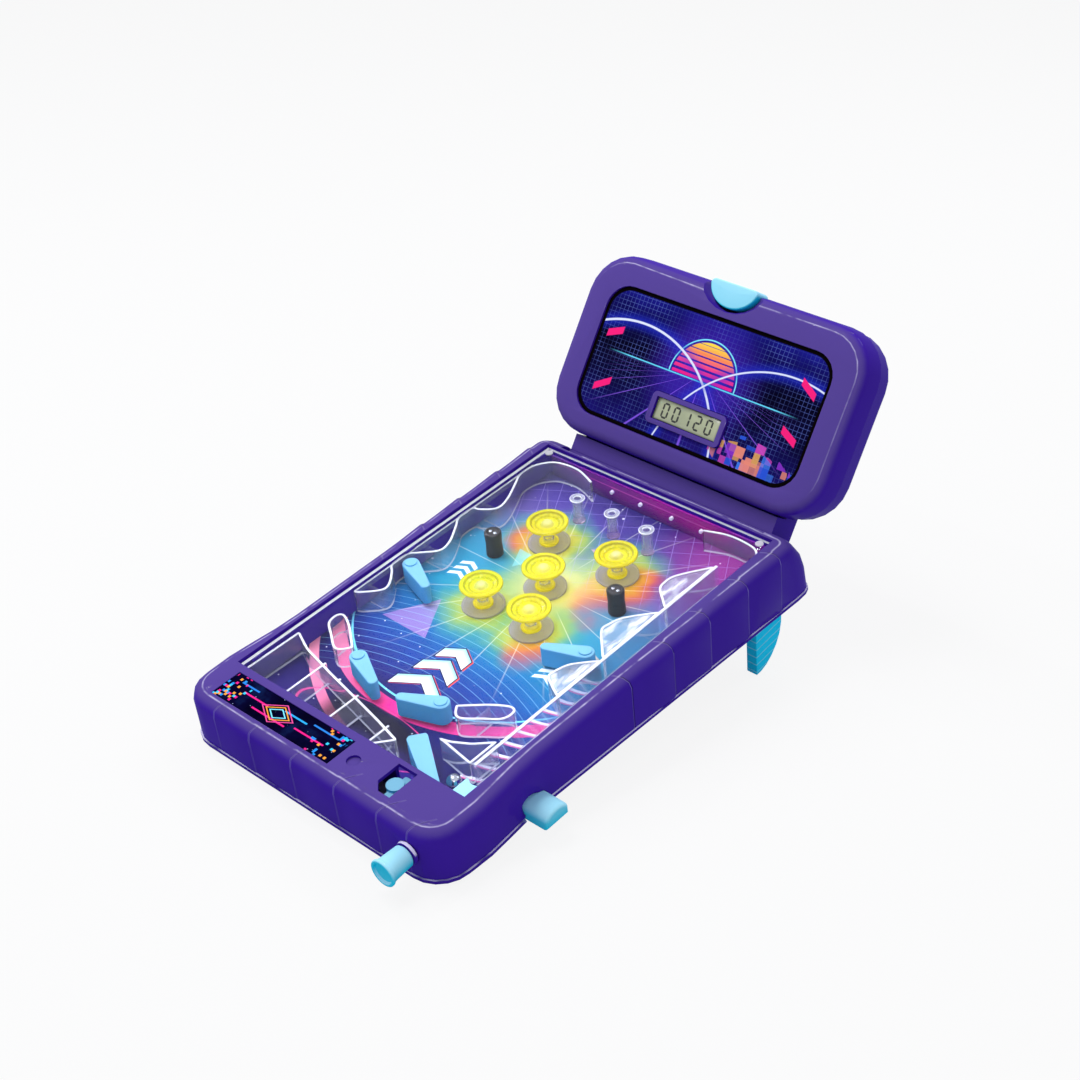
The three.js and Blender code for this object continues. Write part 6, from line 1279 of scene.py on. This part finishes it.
class Controls(bpy.types.Operator):
    """Side buttons with their links, ball feed lever and fold-out legs."""
    bl_idname = "pinball.controls"
    bl_label = "Buttons, lever and legs"

    def execute(self, context):
        for hand in ("left", "right"):
            refined(hand + "_flipper_button", "control", hand + "_button", angle=50)
            refined(hand + "_leg", "leg", hand + "_leg", 2 / 3)
        refined("ball_feed_lever", "flipper", "feed_lever")
        paddle = rounded([[56.6, -173.4], [63.6, -173.4], [63.6, -154.0], [56.6, -154.0]], 1.6, 5, True)
        patches = [outlined(even(paddle, 1.0, True), slab(LEVER_TOP - 3.8, LEVER_TOP, 0.6))]
        make_piece("thumb_paddle", patches, "flipper", body="feed_lever")
        return {"FINISHED"}


class Plunger(bpy.types.Operator):
    """Plunger: dished knob, rod, head and spring."""
    bl_idname = "pinball.plunger"
    bl_label = "Plunger"

    def execute(self, context):
        face = KNOB_ROOT - KNOB_LENGTH
        knob = rounded([
            [0, face + 1.7], [6.6, face + 1.7], [6.9, face + 0.9], [7.2, face], [8.7, face],
            [9.2, face + 0.5], [9.2, face + 1.8], [8.4, face + 2.7], [8.0, face + 5.0],
            [7.3, KNOB_ROOT - 1.2], [6.1, KNOB_ROOT], [2.8, KNOB_ROOT], [2.8, KNOB_ROOT - 13],
            [0, KNOB_ROOT - 13]], 0.35, 4)
        patches = [turned_along_y(knob, LANE_CENTRE, PLUNGER_HEIGHT)]
        make_piece("knob", patches, "control", "plunger_knob", "plunger")
        rod = rounded([
            [0, KNOB_ROOT - 12.7], [2.5, KNOB_ROOT - 12.7], [2.5, ROD_END], [0, ROD_END]], 0.4, 4)
        patches = [turned_along_y(rod, LANE_CENTRE, PLUNGER_HEIGHT, 32)]
        make_piece("rod", patches, "steel", "plunger_rod", "plunger")
        refined("plunger_head", "control", "plunger")
        start, end = SPRING_ENDS
        grid, around = coil(mm("pull_spring_radius"), mm("pull_spring_wire"), 7, end - start)
        grid = grid[..., [0, 2, 1]] * [1, 1, -1] + [LANE_CENTRE, start, PLUNGER_HEIGHT]
        spring = make_piece("pull_spring", [(grid, around)], "steel", "plunger_spring")
        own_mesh(spring)
        return {"FINISHED"}


class Ball(bpy.types.Operator):
    """Steel ball: a half circle turned about its upright axis."""
    bl_idname = "pinball.ball"
    bl_label = "Ball"

    def execute(self, context):
        radius = mm("ball_radius")
        a = np.linspace(-np.pi / 2, np.pi / 2, 49)
        profile = np.stack([radius * np.cos(a), RAIL_BOTTOM + radius + radius * np.sin(a)], -1)
        make_piece(
            "ball_sphere", [turned(profile, BALL_PLACE, 96)], "ball", "steel_ball", "ball", angle=80)
        return {"FINISHED"}


class Bumpers(bpy.types.Operator):
    """Five bumpers: smoky base, yellow collar, spring and rippled yellow cap."""
    bl_idname = "pinball.bumpers"
    bl_label = "Bumpers"

    def execute(self, context):
        radius = mm("bumper_radius")
        low = CAP_LOW
        cap = rounded([
            [0, low - 16.8, 0], [1.6, low - 16.8, 0], [1.6, low, 0], [3.6, low, 0], [7.5, low + 0.9, 0],
            [14.3, low + 2.4, 0], [radius, low + 3.2, 0], [radius, low + 4.0, 0],
            [14.3, low + 4.7, 0], [11.9, low + 4.5, 0], [11.3, low + 3.4, 0.2], [9.6, low + 3.1, 1],
            [7.9, low + 2.9, 1], [7.5, low + 2.2, 0.2], [4.9, low + 2.1, 0]], 0.5, 5)
        a = np.linspace(0.15, np.pi / 2, 12)
        bulb = np.stack([4.3 * np.cos(a), low + 2.3 + 3.05 * np.sin(a), 0 * a], -1)
        cap = np.concatenate([cap, bulb])
        base = rounded([
            [1.9, RAIL_BOTTOM], [radius, RAIL_BOTTOM], [radius, -20.2], [13.2, -20.2], [13.0, -20.45],
            [8.4, -20.45], [8.2, -20.2], [1.9, -20.2], [1.9, RAIL_BOTTOM]], 0.25, 4)
        collar = rounded([
            [1.9, -20.18], [7.0, -20.18], [7.0, -18.6], [6.2, -18.2], [5.2, -18.2], [4.9, -19.0],
            [4.5, -19.0], [4.3, -18.2], [1.9, -18.2], [1.9, -20.18]], 0.25, 4)
        spring = coil(mm("spring_radius"), mm("spring_wire"), 4, 9.9)[0] + [0, 0, -17.9]
        for number, place in enumerate(BUMPERS, 1):
            for name, patch, look, node in (
                    ("yellow_cap", turned(cap, place, 144, 0.28, 18), "bumper", "bumper_cap"),
                    ("smoke_base", turned(base, place, 96), "smoke", "bumper_base"),
                    ("yellow_collar", turned(collar, place, 72), "bumper", None),
                    ("cap_spring", (spring + [*place, 0], True), "steel", "bumper_spring")):
                make_piece(f"{name}_{number}", [patch], look, node and f"{node}_{number}")
        return {"FINISHED"}


class Posts(bpy.types.Operator):
    """Three hollow clear posts and two rubber posts with a pair of steel pins each."""
    bl_idname = "pinball.posts"
    bl_label = "Posts"

    def execute(self, context):
        stem, rubber = mm("post_radius"), mm("rubber_radius")
        profile = rounded([
            [0, RAIL_BOTTOM], [stem + 0.8, RAIL_BOTTOM], [stem + 0.8, -20.6], [stem, -20.0], [stem, -4.4],
            [5.5, -3.2], [5.5, -2.4], [2.6, -2.4], [2.4, -17.0], [0, -17.4]], 0.4, 4)
        for number, place in enumerate(CLEAR_POSTS, 1):
            make_piece(
                f"hollow_post_{number}", [turned(profile, place, 64)], "post", f"clear_post_{number}")
        top = RUBBER_TOP
        profile = rounded([
            [0, RAIL_BOTTOM], [rubber, RAIL_BOTTOM], [rubber, -18], [rubber - 0.35, -12],
            [rubber, -6], [rubber, top - 0.7], [rubber - 0.7, top], [4.3, top], [4.1, top - 0.9],
            [0, top - 0.9]], 0.5, 6)
        a = np.linspace(0, np.pi / 2, 8)
        pin = np.stack([1.45 * np.cos(a), top - 0.8 + 0.8 * np.sin(a)], -1)
        pin = np.concatenate([[[0, top - 2], [1.45, top - 2]], pin])
        for number, place in enumerate(RUBBER_POSTS, 1):
            make_piece(
                f"rubber_sleeve_{number}", [turned(profile, place, 64)], "rubber", f"rubber_post_{number}")
            pins = [turned(pin, place + [shift, 0], 32) for shift in (-2.1, 2.1)]
            make_piece(f"post_pins_{number}", pins, "steel")
        return {"FINISHED"}


class Stage(bpy.types.Operator):
    """Pale floor, soft lamps, white surroundings and the camera."""
    bl_idname = "pinball.stage"
    bl_label = "Stage"

    def execute(self, context):
        self.floor(context)
        self.surroundings(context)
        for lamp in LAMPS:
            self.lamp(*lamp)
        data = bpy.data.cameras.new("camera")
        data.lens, data.sensor_width = LENS, 36.0
        data.clip_start, data.clip_end = 0.02, 60.0
        camera = bpy.data.objects.new("camera", data)
        turn = Matrix((CAMERA_RIGHT, CAMERA_UP, CAMERA_BACK)).transposed().to_4x4()
        camera.matrix_world = Matrix.Translation(CAMERA_PLACE) @ turn
        context.scene.collection.objects.link(camera)
        context.scene.camera = camera
        context.scene.view_settings.view_transform = "Standard"
        return {"FINISHED"}

    def floor(self, context):
        """Level sheet, five metres to each side; the camera sees it near white with a soft shadow."""
        reach = np.linspace(-FLOOR_REACH, FLOOR_REACH, 9)
        x, y = np.meshgrid(reach, reach, indexing="ij")
        index = np.arange(81).reshape(9, 9)
        quads = np.stack([index[:-1, :-1], index[1:, :-1], index[1:, 1:], index[:-1, 1:]], -1)
        mesh = bpy.data.meshes.new("floor")
        mesh.from_pydata(np.stack([x, y, 0 * x], -1).reshape(-1, 3), [], quads.reshape(-1, 4))
        floor = bpy.data.objects.new("floor", mesh)
        context.scene.collection.objects.link(floor)
        tone = tuple(context.scene.pinball_colours.floor)
        material = bpy.data.materials.new("floor_paper")
        material.use_nodes = True
        tree = material.node_tree
        place = add_node(tree, "ShaderNodeTexCoord").outputs["Object"]
        grain = add_node(tree, "ShaderNodeTexNoise", {"Vector": place, "Scale": 40.0})
        mix = add_node(tree, "ShaderNodeMix", {
            6: shaded(tone, 0.985), 7: tone, "Factor": grain.outputs["Fac"]}, data_type="RGBA")
        shader = tree.nodes["Principled BSDF"]
        feed(shader.inputs["Base Color"], mix.outputs[2])
        feed(shader.inputs["Roughness"], 0.9)
        share = Value(self.seen(tree)) * 0.88
        white = add_node(tree, "ShaderNodeEmission", {"Color": (0.995, 0.995, 0.995)})
        blend = add_node(tree, "ShaderNodeMixShader", {
            "Fac": share, 1: shader.outputs[0], 2: white.outputs[0]})
        feed(tree.nodes["Material Output"].inputs["Surface"], blend.outputs[0])
        floor.data.materials.append(material)

    def seen(self, tree):
        """1 for camera, glossy and transmission rays, 0 for the rays that carry light."""
        ray = add_node(tree, "ShaderNodeLightPath")
        total = ray.outputs["Is Camera Ray"]
        for name in ("Is Glossy Ray", "Is Transmission Ray"):
            inputs = {0: total, 1: ray.outputs[name]}
            total = add_node(tree, "ShaderNodeMath", inputs, operation="ADD", use_clamp=True).outputs[0]
        return total

    def surroundings(self, context):
        """White surroundings: full strength where they are seen, and softer where they light."""
        world = bpy.data.worlds.new("studio")
        context.scene.world = world
        world.use_nodes = True
        tree = world.node_tree
        tree.nodes.clear()
        soft = add_node(tree, "ShaderNodeBackground", {"Color": (0.93, 0.95, 1.0), "Strength": 0.55})
        plain = add_node(tree, "ShaderNodeBackground", {"Color": (0.95, 0.95, 0.955)})
        blend = add_node(tree, "ShaderNodeMixShader", {
            "Fac": self.seen(tree), 1: soft.outputs[0], 2: plain.outputs[0]})
        add_node(tree, "ShaderNodeOutputWorld", {"Surface": blend.outputs[0]})

    def lamp(self, name, place, size, power, along):
        """Soft lamp, width by length, that faces the game with its length turned as given."""
        data = bpy.data.lights.new(name, "AREA")
        data.shape, data.energy = "RECTANGLE", power
        data.size, data.size_y = size
        lamp = bpy.data.objects.new(name, data)
        back = (Vector(place) - Vector(LAMP_AIM)).normalized()
        across = Vector(along).cross(back).normalized()
        turn = Matrix((across, back.cross(across), back)).transposed().to_4x4()
        lamp.matrix_world = Matrix.Translation(place) @ turn
        bpy.context.scene.collection.objects.link(lamp)


class PinballPanel(bpy.types.Panel):
    """Sizes, colours and buttons of the pinball game."""
    bl_idname = "VIEW3D_PT_pinball"
    bl_label = "Pinball game"
    bl_space_type = "VIEW_3D"
    bl_region_type = "UI"
    bl_category = "Pinball"

    def draw(self, context):
        for group in (context.scene.pinball_sizes, context.scene.pinball_colours):
            box = self.layout.box()
            for name in group.__annotations__:
                box.prop(group, name)
        for operator in OPERATORS:
            self.layout.operator(operator.bl_idname)


OPERATORS = (
    CaseMouldings, HeadMouldings, DisplayDigits, Playfield, ClearRails, Flippers, Controls, Plunger,
    Ball, Bumpers, Posts, Stage,
)
CLASSES = (PinballSizes, PinballColours, *OPERATORS, PinballPanel)


def register():
    for item in CLASSES:
        bpy.utils.register_class(item)
    bpy.types.Scene.pinball_sizes = PointerProperty(type=PinballSizes)
    bpy.types.Scene.pinball_colours = PointerProperty(type=PinballColours)


def unregister():
    del bpy.types.Scene.pinball_colours
    del bpy.types.Scene.pinball_sizes
    for item in reversed(CLASSES):
        bpy.utils.unregister_class(item)


def main():
    """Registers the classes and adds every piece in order."""
    register()
    for operator in OPERATORS:
        family, name = operator.bl_idname.split(".")
        getattr(getattr(bpy.ops, family), name)()


if __name__ == "__main__":
    main()
